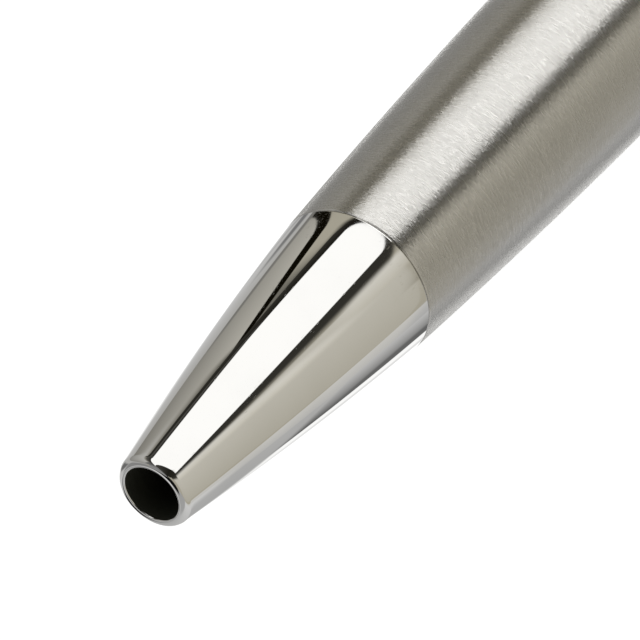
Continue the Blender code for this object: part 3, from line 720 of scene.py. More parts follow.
@dataclass(frozen=True)
class Thread:
    """A V thread cut into a turned piece."""

    start: float
    end: float
    radius: float
    inward: bool
    depth: float = 0.00012
    pitch: float = 0.00050
    runout: float = 0.00050
    steepness: float = 2.6
    row_step: float = 0.00005

    def shift(self, carries: np.ndarray, along: np.ndarray, turn: np.ndarray) -> np.ndarray:
        """Return what the thread adds to the radius at each distance and turn, on the rows that carry it."""
        phase = (along / self.pitch - turn / FULL_TURN) % 1.0
        groove = np.clip(1.0 - np.abs(phase - 0.5) * self.steepness, 0.0, 1.0)
        rise, fall = (np.clip(room / self.runout, 0, 1) for room in (along - self.start, self.end - along))
        return groove * (rise * fall) * (-self.depth if self.inward else self.depth) * carries

    def rows(self) -> list[Place]:
        """Return enough points along the thread, in order, to carry its shape."""
        count = max(2, round((self.end - self.start) / self.row_step))
        length = self.end - self.start
        return [(self.start + length * index / count, self.radius) for index in range(count + 1)]

    def offset(self, outline: Sequence[Place]) -> Offset:
        """Return the thread's offset for an outline, for its rows at the thread's radius only."""
        carries = np.array([abs(out - self.radius) < SAME_PLACE for _, out in outline])
        return partial(self.shift, carries[:, None])


# The sub-assemblies.


@dataclass
class NoseSection:
    """The polished nose cone with its rounded lip, its bore painted dark as shade, and its threaded neck."""

    maker: Maker
    mouth_radius: float = 0.00135
    lip_radius: float = 0.00175
    side_start: float = 0.00031
    slope_step: float = 0.00002
    mouth_rounding: float = 0.00005
    mouth_edge: float = 0.0001
    rear_radius: float = 0.003885
    bulge: float = 0.00015
    length: float = 0.0160
    neck_length: float = 0.0070
    neck_radius: float = 0.0033
    neck_chamfer: float = 0.00015
    thread_margins: Place = (0.0008, 0.0006)
    shoulder: float = 0.01605
    seam_chamfer: float = 0.00004
    edge_margin: float = 0.00001
    bore_rows_start: float = 0.0006
    spring_seat: float = 0.0078
    seat_overlap: float = 0.001
    chamber_radius: float = 0.002005
    bore_start: float = 0.0136
    bore_radius: float = 0.0030
    least_wall: float = 0.0003
    bore_paint_margin: float = 0.00003
    side_rows: int = 90

    def side(self, along: float) -> float:
        """Return the radius of the convex side at a distance from the mouth."""
        share = along / self.length
        straight = self.lip_radius + (self.rear_radius - self.lip_radius) * share
        return straight + 4 * self.bulge * share * (1 - share)

    def lip(self) -> list[Place]:
        """Return the lip's outline, from the side round to the bore."""
        start = self.side_start
        slope = math.atan2(self.side(start + self.slope_step) - self.side(start), self.slope_step)
        rounding = start / (1 - math.sin(slope))
        outer = (rounding, self.side(start) - rounding * math.cos(slope))
        inner = (self.mouth_rounding, self.mouth_radius + self.mouth_rounding)
        outside = arc(outer, rounding, 90 + math.degrees(slope), 180, 24)
        return [*outside[1:], *arc(inner, self.mouth_rounding, 180, 270, 6)]

    def paint(self, along: float, out: float) -> int:
        """Return the slot of a place of the outline: 1 for the bore and its painted shade, 0 for the polished
        outside.
        """
        narrow, wide = self.mouth_radius + self.bore_paint_margin, self.bore_radius + SAME_PLACE
        in_front = out < narrow and along < self.spring_seat + self.seat_overlap
        behind = out < min(wide, self.side(along) - self.least_wall) and along < self.bore_start
        return int(along > self.mouth_edge and (in_front or behind))

    def build(self) -> None:
        """Build the nose cone."""
        chamfer = self.seam_chamfer
        neck_end = self.length + self.neck_length
        front, rear = self.thread_margins
        thread = Thread(self.length + front, neck_end - rear, self.neck_radius, inward=True)
        side_end = self.shoulder - chamfer
        rows = np.linspace(side_end - self.edge_margin, self.side_start, self.side_rows)
        shoulder_radius = self.side(self.shoulder) - chamfer
        outline = [
            (neck_end, self.neck_radius - self.neck_chamfer),
            (neck_end - self.neck_chamfer, self.neck_radius),
            *reversed(thread.rows()),
            (self.shoulder, self.neck_radius),
            (self.shoulder, shoulder_radius),
            (self.shoulder - chamfer * 0.3, shoulder_radius + chamfer * 0.7),
            *((a, self.side(a)) for a in (side_end, *rows)),
            *self.lip(),
            *((a, self.mouth_radius) for a in np.linspace(self.bore_rows_start, self.spring_seat, 6)),
            (self.spring_seat, self.chamber_radius),
            (self.bore_start - self.bore_radius + self.chamber_radius, self.chamber_radius),
            (self.bore_start, self.bore_radius),
            (neck_end, self.bore_radius),
        ]
        looks = {"offset": thread.offset(outline), "paint": self.paint}
        # the bore's faces take the painted-shade finish, a dark colour standing in for the shade inside it
        self.maker.fit(Body.NOSE, "nose_cone", "nose_shell", outline, "polished_steel", "painted_shade_bore", **looks)


@dataclass
class BodyTubes:
    """The brushed barrel and cap with the polished ring between them."""

    maker: Maker
    radius: float = 0.0050
    front_radius: float = 0.0039
    swell_length: float = 0.0333
    thread_radius: float = 0.00335
    thread_start: float = 0.0006
    thread_end: float = 0.0070
    neck_bore_length: float = 0.0079
    barrel_bore: float = 0.0045
    cap_bore: float = 0.0046
    ring_radius: float = 0.0049
    ring_bore: float = 0.00375
    edge: float = 0.00015
    seam_chamfer: float = 0.00006
    edge_margin: float = 0.00001
    swell_rows: int = 70

    def build(self) -> None:
        """Build the barrel, the ring and the cap."""
        self.build_barrel()
        axis, fit = self.maker.axis, self.maker.fit
        ring = rounded(self.sleeve(self.ring_radius, self.ring_bore, *axis.span("centre_ring"), self.edge))
        fit(Body.BARREL, "centre_ring", "centre_band", ring, "polished_steel")
        cap = rounded(self.sleeve(self.radius, self.cap_bore, *axis.span("cap_tube"), self.edge))
        fit(Body.CAP, "cap_tube", "cap_shell", cap, "brushed_steel")

    @staticmethod
    def sleeve(outer: float, inner: float, start: float, end: float, edge: float) -> list[Triple]:
        """Return the corners of a plain tube, with its outer edges rounded more than its inner ones."""
        fine = edge * 0.3
        return [(end, outer, edge), (start, outer, edge), (start, inner, fine), (end, inner, fine)]

    def side(self, along: float) -> float:
        """Return the barrel's radius at a distance from its front edge."""
        share = min(1.0, along / self.swell_length)
        return self.radius - (self.radius - self.front_radius) * (1 - share) ** 2

    def build_barrel(self) -> None:
        """Build the barrel, threaded in front and swelling to a plain cylinder."""
        start, end = self.maker.axis.span("lower_barrel")
        chamfer, edge = self.seam_chamfer, self.edge
        thread = Thread(start + self.thread_start, start + self.thread_end, self.thread_radius, inward=False)
        swell = np.linspace(start + self.swell_length, start + chamfer + self.edge_margin, self.swell_rows)
        outline = [
            (end, self.radius - edge),
            (end - edge * 0.3, self.radius - edge * 0.3),
            (end - edge, self.radius),
            *((a, self.side(a - start)) for a in (*swell, start + chamfer)),
            (start + chamfer * 0.3, self.side(0) - chamfer * 0.3),
            (start, self.side(0) - chamfer),
            (start, self.thread_radius),
            *thread.rows(),
            (start + self.neck_bore_length, self.thread_radius),
            (start + self.swell_length, self.barrel_bore),
            (end, self.barrel_bore),
        ]
        offset = thread.offset(outline)
        self.maker.fit(Body.BARREL, "lower_barrel", "barrel_shell", outline, "brushed_steel", offset=offset)


@dataclass
class EndPieces:
    """The clip's ring and arm, and the domed finial."""

    maker: Maker
    ring_radius: float = 0.0049
    ring_edge: float = 0.00006
    screw_bore: float = 0.00105
    face_radius: float = 0.0022
    face_share: float = 0.6
    band: float = 0.0014
    band_edge: float = 0.00005
    band_corner: float = 0.000015
    screw_depth: float = 0.0032
    clip_length: float = 0.0385
    clip_width: float = 0.0034
    tip_width_share: float = 0.76
    tip_rounding: float = 0.0014
    tip_end_share: float = 0.45
    thickness: float = 0.0008
    inner_radius: float = 0.0065
    root_radius: float = 0.00565
    touch_radius: float = 0.00515
    bend_radius: float = 0.0015
    straight_margin: float = 0.001
    ramp_length: float = 0.0046
    flare_length: float = 0.0020
    flare_height: float = 0.00075
    clip_edge: float = 0.00018
    tab_radius: float = 0.00545
    tab_inset: float = 0.00005
    tab_edge: float = 0.00004
    edge_segments: int = 5

    def build(self) -> None:
        """Build the ring with its tab, the arm and the finial."""
        self.build_ring()
        self.build_finial()
        self.build_arm()

    def build_ring(self) -> None:
        """Build the clip's ring and the tab that carries the arm."""
        start, end = self.maker.axis.span("clip_ring")
        ring = rounded(BodyTubes.sleeve(self.ring_radius, self.screw_bore, start, end, self.ring_edge))
        self.maker.fit(Body.CAP, "clip_ring", "clip_collar", ring, "polished_steel")
        inner = (self.ring_radius + self.screw_bore) / 2
        front, rear = start + self.tab_inset, end - self.tab_inset
        outline = [(front, inner), (rear, inner), (rear, self.tab_radius), (front, self.tab_radius)]
        tab = self.strip("clip_tab", outline, [self.clip_width / 2] * len(outline), self.tab_edge)
        self.maker.seat(tab, Body.CAP, "polished_steel")

    def build_finial(self) -> None:
        """Build the finial: a band, a dome and a small flat face."""
        start, end = self.maker.axis.span("finial")
        dome_start, dome_rise = start + self.band, self.ring_radius - self.face_radius
        outline = [(end, 0.0), (end, self.face_radius * self.face_share)]
        for angle in np.linspace(0, math.pi / 2, 48):
            along = dome_start + (end - dome_start) * math.cos(angle)
            outline.append((along, self.face_radius + dome_rise * math.sin(angle)))
        outline += [
            (start + self.band_edge, self.ring_radius),
            (start + self.band_corner, self.ring_radius - self.band_corner),
            (start, self.ring_radius - self.band_edge),
            (start, self.screw_bore),
            (start + self.screw_depth, self.screw_bore),
            (start + self.screw_depth, 0.0),
        ]
        self.maker.fit(Body.CAP, "finial", "finial_dome", outline, "polished_steel", closed=False)

    def clip_side(self, top: float) -> list[Place]:
        """Return the arm's side view: root, bend, straight run, touch and flare."""
        touch = top - self.clip_length + self.flare_length
        ramp_top = touch + self.ramp_length
        drop = self.inner_radius - self.touch_radius
        margin = self.straight_margin
        straight = np.linspace(top - self.bend_radius - margin, ramp_top + margin, 30)
        inner = [(a, self.inner_radius) for a in straight]
        for share in np.linspace(0, 1, 40):
            fallen = drop * (1 - math.cos(math.pi * share)) / 2
            inner.append((ramp_top - self.ramp_length * share, self.inner_radius - fallen))
        for share in np.linspace(0, 1, 20)[1:]:
            risen = self.flare_height * share**2
            inner.append((touch - self.flare_length * share, self.touch_radius + risen))
        middle = (top - self.bend_radius, self.inner_radius + self.thickness - self.bend_radius)
        return [
            (top - self.thickness, self.root_radius),
            (top, self.root_radius),
            *arc(middle, self.bend_radius, 0, 90, 24),
            *((a, out + self.thickness) for a, out in inner),
            *reversed(inner),
            *arc(middle, self.bend_radius - self.thickness, 90, 0, 24),
        ]

    def half_width(self, below: float) -> float:
        """Return the arm's half width at a distance below its top."""
        taper = 1 - (1 - self.tip_width_share) * below / self.clip_length
        into_end = max(0.0, below - (self.clip_length - self.tip_rounding)) / self.tip_rounding
        round_end = math.sqrt(1 - (1 - self.tip_end_share**2) * min(1.0, into_end) ** 2)
        return self.clip_width / 2 * taper * round_end

    def strip(
        self, name: str, outline: Sequence[Place], halves: Sequence[float], edge: float
    ) -> bpy.types.Object:
        """Make a flat outline thick across the clip's middle plane, with rounded edges.

        Args:
            name: The piece's name.
            outline: Its side view as distance along the pen and radius.
            halves: The half width at each of its points.
            edge: The rounding of its long edges.

        Returns:
            The piece.
        """
        axis = self.maker.axis
        along, out = np.array(outline).T
        base = axis.points(along, out, np.zeros_like(along))
        half = np.array(axis.side_way) * np.array(halves)[:, None]
        count = len(outline)
        faces = [tuple(range(count)), tuple(range(2 * count - 1, count - 1, -1))]
        faces += [(i, count + i, count + (i + 1) % count, (i + 1) % count) for i in range(count)]
        thing = self.maker.solid(name, np.concatenate([base + half, base - half]), faces, ["polished_steel"])
        bevel = thing.modifiers.new("edges", "BEVEL")
        bevel.width = edge
        bevel.segments = self.edge_segments
        bevel.limit_method = "ANGLE"
        bevel.angle_limit = math.radians(50)
        bevel.harden_normals = True
        return thing

    def build_arm(self) -> None:
        """Build the clip's arm."""
        top = self.maker.axis.span("clip_ring")[1]
        outline = self.clip_side(top)
        halves = [self.half_width(top - along) for along, _ in outline]
        arm = self.strip("clip_blade", outline, halves, self.clip_edge)
        self.maker.seat(arm, Body.CLIP, "polished_steel", "clip_arm")


@dataclass
class RefillSection:
    """What shows when the nose is off: the refill's point, ball, adapter and tube, and the spring."""

    maker: Maker
    point_depth: float = 0.0012
    ball_radius: float = 0.0005
    ball_clearance: float = 0.00006
    ball_shows_share: float = 0.6
    socket_wall: float = 0.00014
    crimp_share: float = 0.55
    channel_radius: float = 0.00025
    tip_radius: float = 0.001175
    tip_wall: float = 0.00035
    cone_length: float = 0.0029
    tip_length: float = 0.0200
    flange_length: float = 0.0010
    adapter_clearance: float = 0.00005
    refill_radius: float = 0.0029
    refill_bore: float = 0.0025
    tube_edge: float = 0.00005
    groove_places: Place = (0.0022, 0.0012)
    groove_depth: float = 0.00012
    groove_half: float = 0.00022
    neck_radius: float = 0.00245
    spring_seat: float = 0.0078
    spring_push: float = 0.0170
    spring_gap: float = 0.0003
    spring_radius: float = 0.001625
    wire_radius: float = 0.0002
    spring_turns: int = 7
    points_per_turn: int = 36
    even_share: float = 0.75
    stroke: float = 0.0042

    def build(self) -> None:
        """Build the tip, the ball, the adapter, the tube and the spring."""
        self.build_tip()
        self.build_ball()
        self.build_adapter()
        self.build_tube()
        self.build_spring()

    def build_tip(self) -> None:
        """Build the tip: crimped socket, cone, step and narrow tube."""
        middle = self.point_depth + self.ball_radius
        socket = self.ball_radius + self.ball_clearance
        lip = self.point_depth + self.ball_radius * self.ball_shows_share
        lip_bore = math.sqrt(socket**2 - (middle - lip) ** 2)
        socket_end = middle + socket
        cone_end = self.point_depth + self.cone_length
        tip_end = self.point_depth + self.tip_length
        bore = self.tip_radius - self.tip_wall
        corners = [
            (tip_end, self.tip_radius, 0.00005),
            (cone_end, self.tip_radius, 0.0004),
            (middle, socket + self.socket_wall, 0.0002),
            (lip, lip_bore + self.socket_wall * self.crimp_share, 0.00004),
            (lip, lip_bore, 0.00001),
            (middle, socket, 0.0001),
            (socket_end - self.ball_clearance, socket, 0.0),
            (socket_end, self.channel_radius, 0.0),
            (cone_end, self.channel_radius, 0.0),
            (cone_end + bore, bore, 0.0),
            (tip_end, bore, 0.0),
        ]
        inner = {"segments": Detail.INNER.value}
        self.maker.fit(Body.REFILL, "refill_tip", "point_cone", rounded(corners), "tip_metal", **inner)

    def build_ball(self) -> None:
        """Build the writing ball."""
        middle, radius = self.point_depth + self.ball_radius, self.ball_radius
        angles = np.linspace(0, math.pi, 33)[1:-1]
        curve = [(middle + radius * math.cos(angle), radius * math.sin(angle)) for angle in angles]
        outline = [(middle + radius, 0.0), *curve, (middle - radius, 0.0)]
        round_it = {"segments": Detail.BALL.value, "closed": False}
        self.maker.fit(Body.BALL, "writing_ball", "point_ball", outline, "ball_metal", **round_it)

    def build_adapter(self) -> None:
        """Build the adapter between the tip and the tube."""
        start, end = self.maker.axis.span("refill_adapter")
        flange, bore = start + self.flange_length, self.tip_radius + self.adapter_clearance
        corners = [
            (end, self.neck_radius, 0.00008),
            (flange, self.neck_radius, 0.00003),
            (flange, self.refill_radius, 0.00006),
            (start, self.refill_radius, 0.00016),
            (start, bore, 0.00006),
            (end, bore, 0.00004),
        ]
        inner = {"segments": Detail.INNER.value}
        self.maker.fit(Body.REFILL, "refill_adapter", "refill_collar", rounded(corners), "brass", **inner)

    def build_tube(self) -> None:
        """Build the metal tube, with two crimped grooves that hold the adapter."""
        start, end = self.maker.axis.span("refill_tube")
        radius, edge = self.refill_radius, self.tube_edge
        outline = [(end - edge, radius)]
        for place in self.groove_places:
            for turn in np.linspace(0, math.pi, 13):
                along = start + place + self.groove_half * math.cos(turn)
                outline.append((along, radius - self.groove_depth * math.sin(turn) ** 2))
        outline += [
            (start + edge, radius),
            (start, radius - edge),
            (start, self.refill_bore),
            (end, self.refill_bore),
            (end, radius - edge),
        ]
        inner = {"segments": Detail.INNER.value}
        self.maker.fit(Body.REFILL, "refill_tube", "refill_barrel", outline, "refill_metal", **inner)

    def spring_line(self) -> tuple[np.ndarray, np.ndarray]:
        """Return the spring's line, distances along the pen and turns, a little closer at its ends."""
        start = self.spring_seat + self.spring_gap + self.wire_radius
        end = self.point_depth + self.spring_push - self.spring_gap - self.wire_radius
        share = np.linspace(0, 1, self.spring_turns * self.points_per_turn + 1)
        slow_ends = 0.5 - 0.5 * np.cos(math.pi * share)
        eased = self.even_share * share + (1 - self.even_share) * slow_ends
        return start + (end - start) * eased, FULL_TURN * self.spring_turns * share

    def build_spring(self) -> None:
        """Build the return spring."""
        axis = self.maker.axis
        along, turn = self.spring_line()
        centre = axis.points(along, np.full_like(along, self.spring_radius), turn)
        way = np.gradient(centre, axis=0)
        way /= np.linalg.norm(way, axis=1, keepdims=True)
        nought = np.zeros_like(along)
        out = axis.points(nought, nought + 1, turn) - axis.points(nought, nought, turn)
        out -= (out * way).sum(1, keepdims=True) * way
        out /= np.linalg.norm(out, axis=1, keepdims=True)
        up = np.cross(way, out)
        sides = Detail.WIRE.value
        angles = np.arange(sides) * FULL_TURN / sides
        ring = np.cos(angles)[None, :, None] * out[:, None] + np.sin(angles)[None, :, None] * up[:, None]
        verts = (centre[:, None] + self.wire_radius * ring).reshape(-1, 3)
        faces, last = [], (len(along) - 1) * sides
        for row in range(0, last, sides):
            for side in range(sides):
                after = (side + 1) % sides
                faces.append((row + side, row + after, row + sides + after, row + sides + side))
        faces += [tuple(range(sides)), tuple(range(last + sides - 1, last - 1, -1))]
        spring = self.maker.solid("coil_spring", verts, faces, ["plain_steel"])
        self.maker.seat(spring, Body.BARREL, "plain_steel", "return_spring")
        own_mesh(spring)


# The studio.


@dataclass(frozen=True)
class Tone:
    """A card's tone as it shows: a level from 0 to 1, and how warm it is."""

    level: float
    warmth: float = 0.0

    def light(self, gain: float) -> Colour:
        """Return the tone as light, times a gain."""
        red, blue = self.level + RED_WARMTH * self.warmth, self.level - BLUE_WARMTH * self.warmth
        return tuple(gain * max(0.0, part) ** DISPLAY_POWER for part in (red, self.level, blue))


@dataclass(frozen=True)
class Edge:
    """How soft a card's outline is and how far its corners round in turn and in tilt, in degrees."""

    softness: float = 0.4
    turn: float = 2.0
    tilt: float = 1.0


@dataclass(frozen=True)
class Lean:
    """How far a card's sides shift and spread for each degree of tilt, and its ends for each of turn."""

    turn: float = 0.0
    tilt: float = 0.0
    taper: float = 0.0


@dataclass(frozen=True)
class Card:
    """A soft card of the studio, placed by turn about the pen and tilt from its rear, in degrees.

    It covers the tilts from near to far and the turns up to half_turn either way.  Its lean counts
    from the studio's middle tilt, and its tone runs from first to second across the turns.
    """

    name: str
    turn: float
    half_turn: float
    near: float
    far: float
    first: Tone
    second: Tone
    edge: Edge = Edge()
    lean: Lean = Lean()
    gain: float = 1.0

    def values(self) -> dict[str, float]:
        """Return what the card's node group takes."""
        return {
            "Card turn": self.turn,
            "Half turn": self.half_turn,
            "Card tilt": (self.near + self.far) / 2,
            "Half tilt": (self.far - self.near) / 2,
            "Turn lean": self.lean.turn,
            "Tilt lean": self.lean.tilt,
            "Taper": self.lean.taper,
            "Corner turn": self.edge.turn,
            "Corner tilt": self.edge.tilt,
            "Softness": self.edge.softness,
        }


BLACK = Tone(0.07, 0.015)
LIT = Tone(0.985, 0.003)
BACK_EDGE = Edge(0.4, 14, 0.8)

# The farthest card comes first, and a later one covers it where they overlap.  Their places and
# tones were fitted to the reflections that the photograph shows in the nose and the barrel.
CARDS = (
    Card("rear_dark", 150, 32, 0, 54, Tone(0.72, 0.04), Tone(0.24, 0.04), Edge(3)),
    Card("back_wedge", 131, 9, 59.8, 125, Tone(0.42, 0.02), Tone(0.42, 0.02), Edge(4, 7, 2.2)),
    Card("back_frame", 182, 45.8, 52.42, 150, BLACK, BLACK, BACK_EDGE, Lean(-2.4, -0.096)),
    Card(
        "back_card", 186, 43.1, 52.09, 150,
        Tone(0.64, 0.02), Tone(0.05, 0.015), BACK_EDGE, Lean(-3.0, -0.106),
    ),
    Card("back_edge", 178.8, 3.2, 50, 59, Tone(0.44, 0.01), Tone(0.44, 0.01), Edge(2.0)),
    Card("back_shade", 126.3, 10, 63.6, 125, Tone(0.22, 0.02), Tone(0.34, 0.02), Edge(9, 10, 0.67)),
    Card("back_forward", 170, 30, 66, 150, Tone(0.67, 0.01), Tone(0.40, 0.01), Edge(4, 8, 3)),
    Card(
        "front_card", 7, 35.5, 58.6, 140,
        Tone(0.64, 0.03), Tone(0.715, 0.025), Edge(0.4, 9, 1.2), Lean(0, 0.04),
    ),
    Card("front_rear", 24, 20, 0, 58.6, Tone(0.47, 0.035), Tone(0.67, 0.03), Edge(2.0)),
    Card("front_glow", 38, 11, 59.0, 62.8, Tone(0.70, 0.03), Tone(0.80, 0.02), Edge(3.0, 6, 2)),
    Card(
        "overhead_frame", 86.5, 39.1, 58.8, 150,
        Tone(0.20, 0.01), BLACK, Edge(5.0, 14, 0.45), Lean(0, -0.0231, 0.6),
    ),
    Card("overhead_near_frame", 52, 8, 0, 58.6, Tone(0.44, 0.03), Tone(0.16, 0.02), Edge(1.5)),
    Card("overhead_near_box", 93, 29.5, 20, 56.3, LIT, Tone(0.80), Edge(2.5), gain=2.0),
    Card("overhead_side_frame", 120, 6.5, 58.35, 80, BLACK, Tone(0.19, 0.01), Edge(0.4, 9, 0.5), Lean(1.1)),
    Card(
        "overhead_box", 89.25, 27.75, 59.12, 150,
        LIT, LIT, Edge(0.5, 12, 0.42), Lean(0.155, -0.0231, 0.945),
    ),
    Card(
        "overhead_side_shade", 120.65, -0.65, 62.8, 150,
        Tone(0.13, 0.01), Tone(0.30, 0.01), Edge(0.6), Lean(0.55, 0, 0.55),
    ),
    Card(
        "camera_side", 92, 33, 111.7, 240,
        Tone(0.10, 0.01), Tone(0.26, 0.01), Edge(0.4, 4, 4), Lean(0, 1.22),
    ),
    Card("lip_side", 57, 8, 74, 165, Tone(0.16, 0.01), Tone(0.14, 0.01), Edge(1.5, 4, 4)),
    Card("forward_dark", 148, 18, 137, 157, Tone(0.34), Tone(0.42), Edge(3, 5, 5), Lean(0, 0.35)),
    Card("front_sheen", 22.2, 6, 62.5, 90, Tone(0.745, 0.03), Tone(0.80, 0.02), Edge(4.0, 8, 5), Lean(1.45)),
    Card("table_front", -46.2, 16.5, 51, 150, Tone(0.64), Tone(0.745, 0.01), lean=Lean(-0.45)),
    Card("table_near", -38, 11, 0, 56.7, Tone(0.645), Tone(0.67), Edge(2.0)),
    Card("table_shade", -70.5, 9.5, 51, 150, Tone(0.72), Tone(0.63)),
    Card("table_rear", -85, 30, 0, 51, Tone(0.66), Tone(0.58), Edge(2.0)),
    Card("front_shadow", -61, 17.5, 42, 58.9, Tone(0.28), Tone(0.70), Edge(0.8, 3, 1.2)),
    Card("front_shadow_core", -74, 9, 42, 56.6, Tone(0.38), Tone(0.38), Edge(3.5, 6, 1.5)),
    Card("table_white", -98.5, 21.5, 46, 150, Tone(0.94), Tone(0.955), Edge(0.6)),
    Card("table_line", -94, 5, 45, 56.5, Tone(0.83), Tone(0.83), Edge(3.0, 2, 2)),
    Card("front_low", -76, 28, 57.9, 72, Tone(0.61), Tone(0.66), Edge(1.2), Lean(0, 0.05)),
    Card("table_far", -100, 60, 64, 180, Tone(0.55), Tone(0.77), Edge(3)),
    Card("before_low", -75, 45, 130, 156, Tone(0.60), Tone(0.60), Edge(4, 6, 6)),
    Card("behind_far", -158, 20.5, 52.3, 150, Tone(0.64, 0.005), Tone(0.72), Edge(0.6)),
    Card("behind_near", -128, 11, 0, 150, Tone(0.71), Tone(0.83), Edge(1.0)),
    Card("behind_rear", -158, 20.5, 0, 52.3, Tone(0.52), Tone(0.70), Edge(1.0)),
    Card("behind_glow", -138, 10, 59, 88, Tone(0.97), Tone(0.93), Edge(2.5, 5, 4)),
    Card("behind_patch", -166, 5.5, 46, 54.6, Tone(0.44), Tone(0.44), Edge(2.5, 4, 1.2)),
    Card("behind_rise", -149.5, 14, 50, 57.3, Tone(0.83), Tone(1.08), Edge(5, 6, 1.5), Lean(-4)),
    Card("behind_bright", -124, 18, 0, 48.5, LIT, LIT, Edge(2.0), gain=3.0),
    Card("behind_gap", -156, 9, 84, 119, Tone(0.40), Tone(0.40), Edge(4, 6, 8)),
    Card("forward_low", -150, 20, 121, 152, Tone(0.50), Tone(0.50), Edge(4, 6, 6)),
    Card("behind_dark", -122.5, 5.5, 86, 127, Tone(0.02), Tone(0.08), Edge(2.5, 3.5, 10)),
    Card("around_camera", 180, 62, 152, 180, Tone(0.45), Tone(0.56), Edge(2, 6, 4)),
    Card("before_mouth", -38, 100, 159.4, 240, Tone(0.06), Tone(0.12), Edge(3, 3, 3), Lean(0, 0.14)),
)


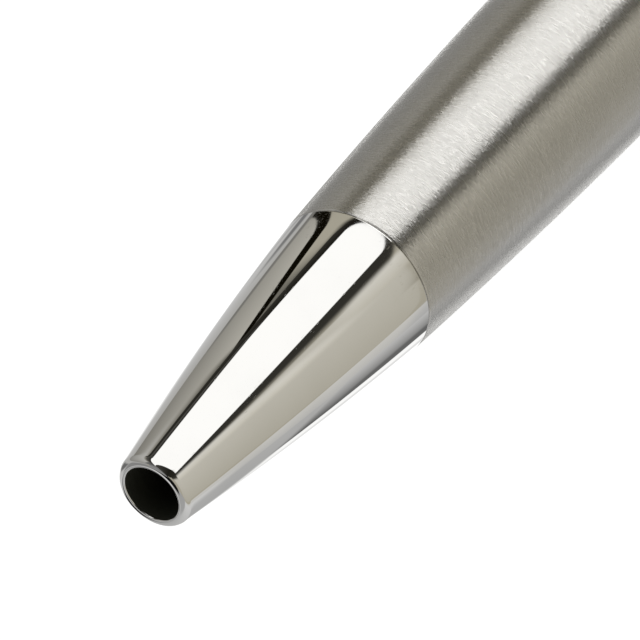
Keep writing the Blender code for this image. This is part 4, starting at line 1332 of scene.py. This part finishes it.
@dataclass
class Studio:
    """The pale table, the cards round it as the world's light, and the camera."""

    chrome: float = 0.79
    lens: float = 241.9
    sensor: float = 36.0
    clip_range: Place = (0.005, 10.0)
    distance: float = 0.1882
    azimuth: float = -58.0
    elevation: float = 40.7
    roll: float = 0.26
    look_ahead: float = 0.01324
    table_radius: float = 3.0
    table_glow: float = 0.94
    table_grain: float = 60.0
    table_tones: Place = (0.22, 0.24)
    table_roughness: float = 0.9
    middle_tilt: float = 60.0
    lean_range: Place = (-8.0, 12.0)
    rear: Tone = Tone(0.43, 0.03)
    room: Tone = Tone(0.61, 0.035)
    room_tilts: Place = (50.0, 58.0)

    def card_group(self) -> bpy.types.NodeTree:
        """Make the group that says how much of a direction a card covers, and how far across it lies."""
        graph = Group("studio_card", {"Turn": 0.0, "Tilt": 0.0, **CARDS[0].values()}, ("Cover", "Across"))
        given = graph.given
        ahead = graph.minus(given["Tilt"], self.middle_tilt)
        ahead = graph.math("MINIMUM", graph.math("MAXIMUM", ahead, self.lean_range[0]), self.lean_range[1])
        aside = graph.minus(given["Turn"], given["Card turn"])
        aside = graph.minus(aside, graph.times(ahead, given["Turn lean"]))
        aside = graph.math("WRAP", aside, 180.0, -180.0)
        down = graph.minus(given["Tilt"], given["Card tilt"])
        down = graph.minus(down, graph.times(aside, given["Tilt lean"]))
        half = graph.plus(given["Half turn"], graph.times(ahead, given["Taper"]))
        over = []
        for value, limit, corner in ((aside, half, "Corner turn"), (down, given["Half tilt"], "Corner tilt")):
            beyond = graph.minus(graph.math("ABSOLUTE", value), limit)
            over.append(graph.plus(graph.math("DIVIDE", beyond, given[corner]), 1.0))
        squares = [graph.math("POWER", graph.math("MAXIMUM", part, 0.0), 2.0) for part in over]
        outside = graph.math("SQRT", graph.plus(*squares))
        inside = graph.math("MINIMUM", graph.math("MAXIMUM", *over), 0.0)
        apart = graph.minus(graph.plus(outside, inside), 1.0)
        soft = graph.math("DIVIDE", given["Softness"], given["Corner turn"])
        cover = graph.smooth(apart, soft, graph.times(soft, -1.0))
        across = graph.plus(graph.times(graph.math("DIVIDE", aside, half), 0.5), 0.5)
        return graph.give(Cover=cover, Across=across)

    def build_world(self) -> None:
        """Light the scene with the cards; the camera itself sees plain white beyond the table."""
        world = bpy.data.worlds.new("studio")
        world.use_nodes = True
        bpy.context.scene.world = world
        graph = Graph(world.node_tree)
        generated = graph.add("ShaderNodeTexCoord").outputs["Generated"]
        way = graph.add("ShaderNodeSeparateXYZ", {0: generated}).outputs
        turn = graph.math("ARCTAN2", way[2], graph.times(way[1], -1.0))
        turn = graph.times(turn, math.degrees(1))
        tilt = graph.times(graph.math("ARCCOSINE", way[0]), math.degrees(1))
        gain = 1 / self.chrome
        ahead = graph.smooth(tilt, *self.room_tilts)
        colour = graph.blend(ahead, self.rear.light(gain), self.room.light(gain))
        tree = self.card_group()
        for card in CARDS:
            node = graph.add("ShaderNodeGroup")
            node.node_tree = tree
            for key, value in {"Turn": turn, "Tilt": tilt, **card.values()}.items():
                graph.fill(node.inputs[key], value)
            ends = (tone.light(gain * card.gain) for tone in (card.first, card.second))
            colour = graph.blend(node.outputs["Cover"], colour, graph.blend(node.outputs["Across"], *ends))
            LOG.info("studio card %s", card.name)
        seen = graph.add("ShaderNodeLightPath").outputs["Is Camera Ray"]
        shown = graph.blend(seen, colour, (1.0, 1.0, 1.0))
        light = graph.add("ShaderNodeBackground", {"Color": shown, "Strength": 1.0})
        graph.add("ShaderNodeOutputWorld", {"Surface": light.outputs[0]})

    def build_table(self) -> None:
        """Lay the pale table that the pen rests on; it glows by itself and no reflection shows it."""
        surface = Surface("lit_table")
        place = surface.add("ShaderNodeTexCoord").outputs["Object"]
        tones = ((tone, tone, tone) for tone in self.table_tones)
        shape = bmesh.new()
        bmesh.ops.create_circle(shape, cap_ends=True, segments=64, radius=self.table_radius)
        mesh = bpy.data.meshes.new("table")
        shape.to_mesh(mesh)
        shape.free()
        material = surface.wire(
            Base_Color=surface.blend(surface.noise(place, scale=self.table_grain), *tones),
            Roughness=self.table_roughness,
            Emission_Color=(1.0, 1.0, 1.0),
            Emission_Strength=self.table_glow,
        )
        mesh.materials.append(material)
        table = bpy.data.objects.new("table", mesh)
        bpy.context.scene.collection.objects.link(table)
        table.visible_glossy = False

    def build_camera(self, axis: PenAxis) -> None:
        """Set the camera at the photograph's angle."""
        data = bpy.data.cameras.new("camera")
        data.lens = self.lens
        data.sensor_width = self.sensor
        data.clip_start, data.clip_end = self.clip_range
        camera = bpy.data.objects.new("camera", data)
        bpy.context.scene.collection.objects.link(camera)
        turn, rise = math.radians(self.azimuth), math.radians(self.elevation)
        back = Vector((math.sin(turn) * math.cos(rise), -math.cos(turn) * math.cos(rise), math.sin(rise)))
        target = Vector((axis.mouth + self.look_ahead, axis.across, axis.height))
        camera.location = target + back * self.distance
        camera.rotation_mode = "QUATERNION"
        level = (-back).to_track_quat("-Z", "Y")
        camera.rotation_quaternion = level @ Quaternion((0, 0, 1), math.radians(self.roll))
        bpy.context.scene.camera = camera

    def build(self, axis: PenAxis) -> None:
        """Build the world, the table and the camera."""
        bpy.context.scene.view_settings.view_transform = "Standard"
        self.build_world()
        self.build_table()
        self.build_camera(axis)


def main() -> None:
    """Build the finishes, every sub-assembly and the studio, in order."""
    logging.basicConfig(level=logging.INFO, format="%(message)s")
    effects = SurfaceEffects()
    effects.build()
    finishes = Finishes(effects)
    finishes.build()
    finishes.dress_nodes()
    axis = PenAxis.read()
    maker = Maker(axis, finishes)
    for section in (NoseSection(maker), BodyTubes(maker), EndPieces(maker), RefillSection(maker)):
        section.build()
        LOG.info("built %s", type(section).__name__)
    Studio().build(axis)


if __name__ == "__main__":
    main()
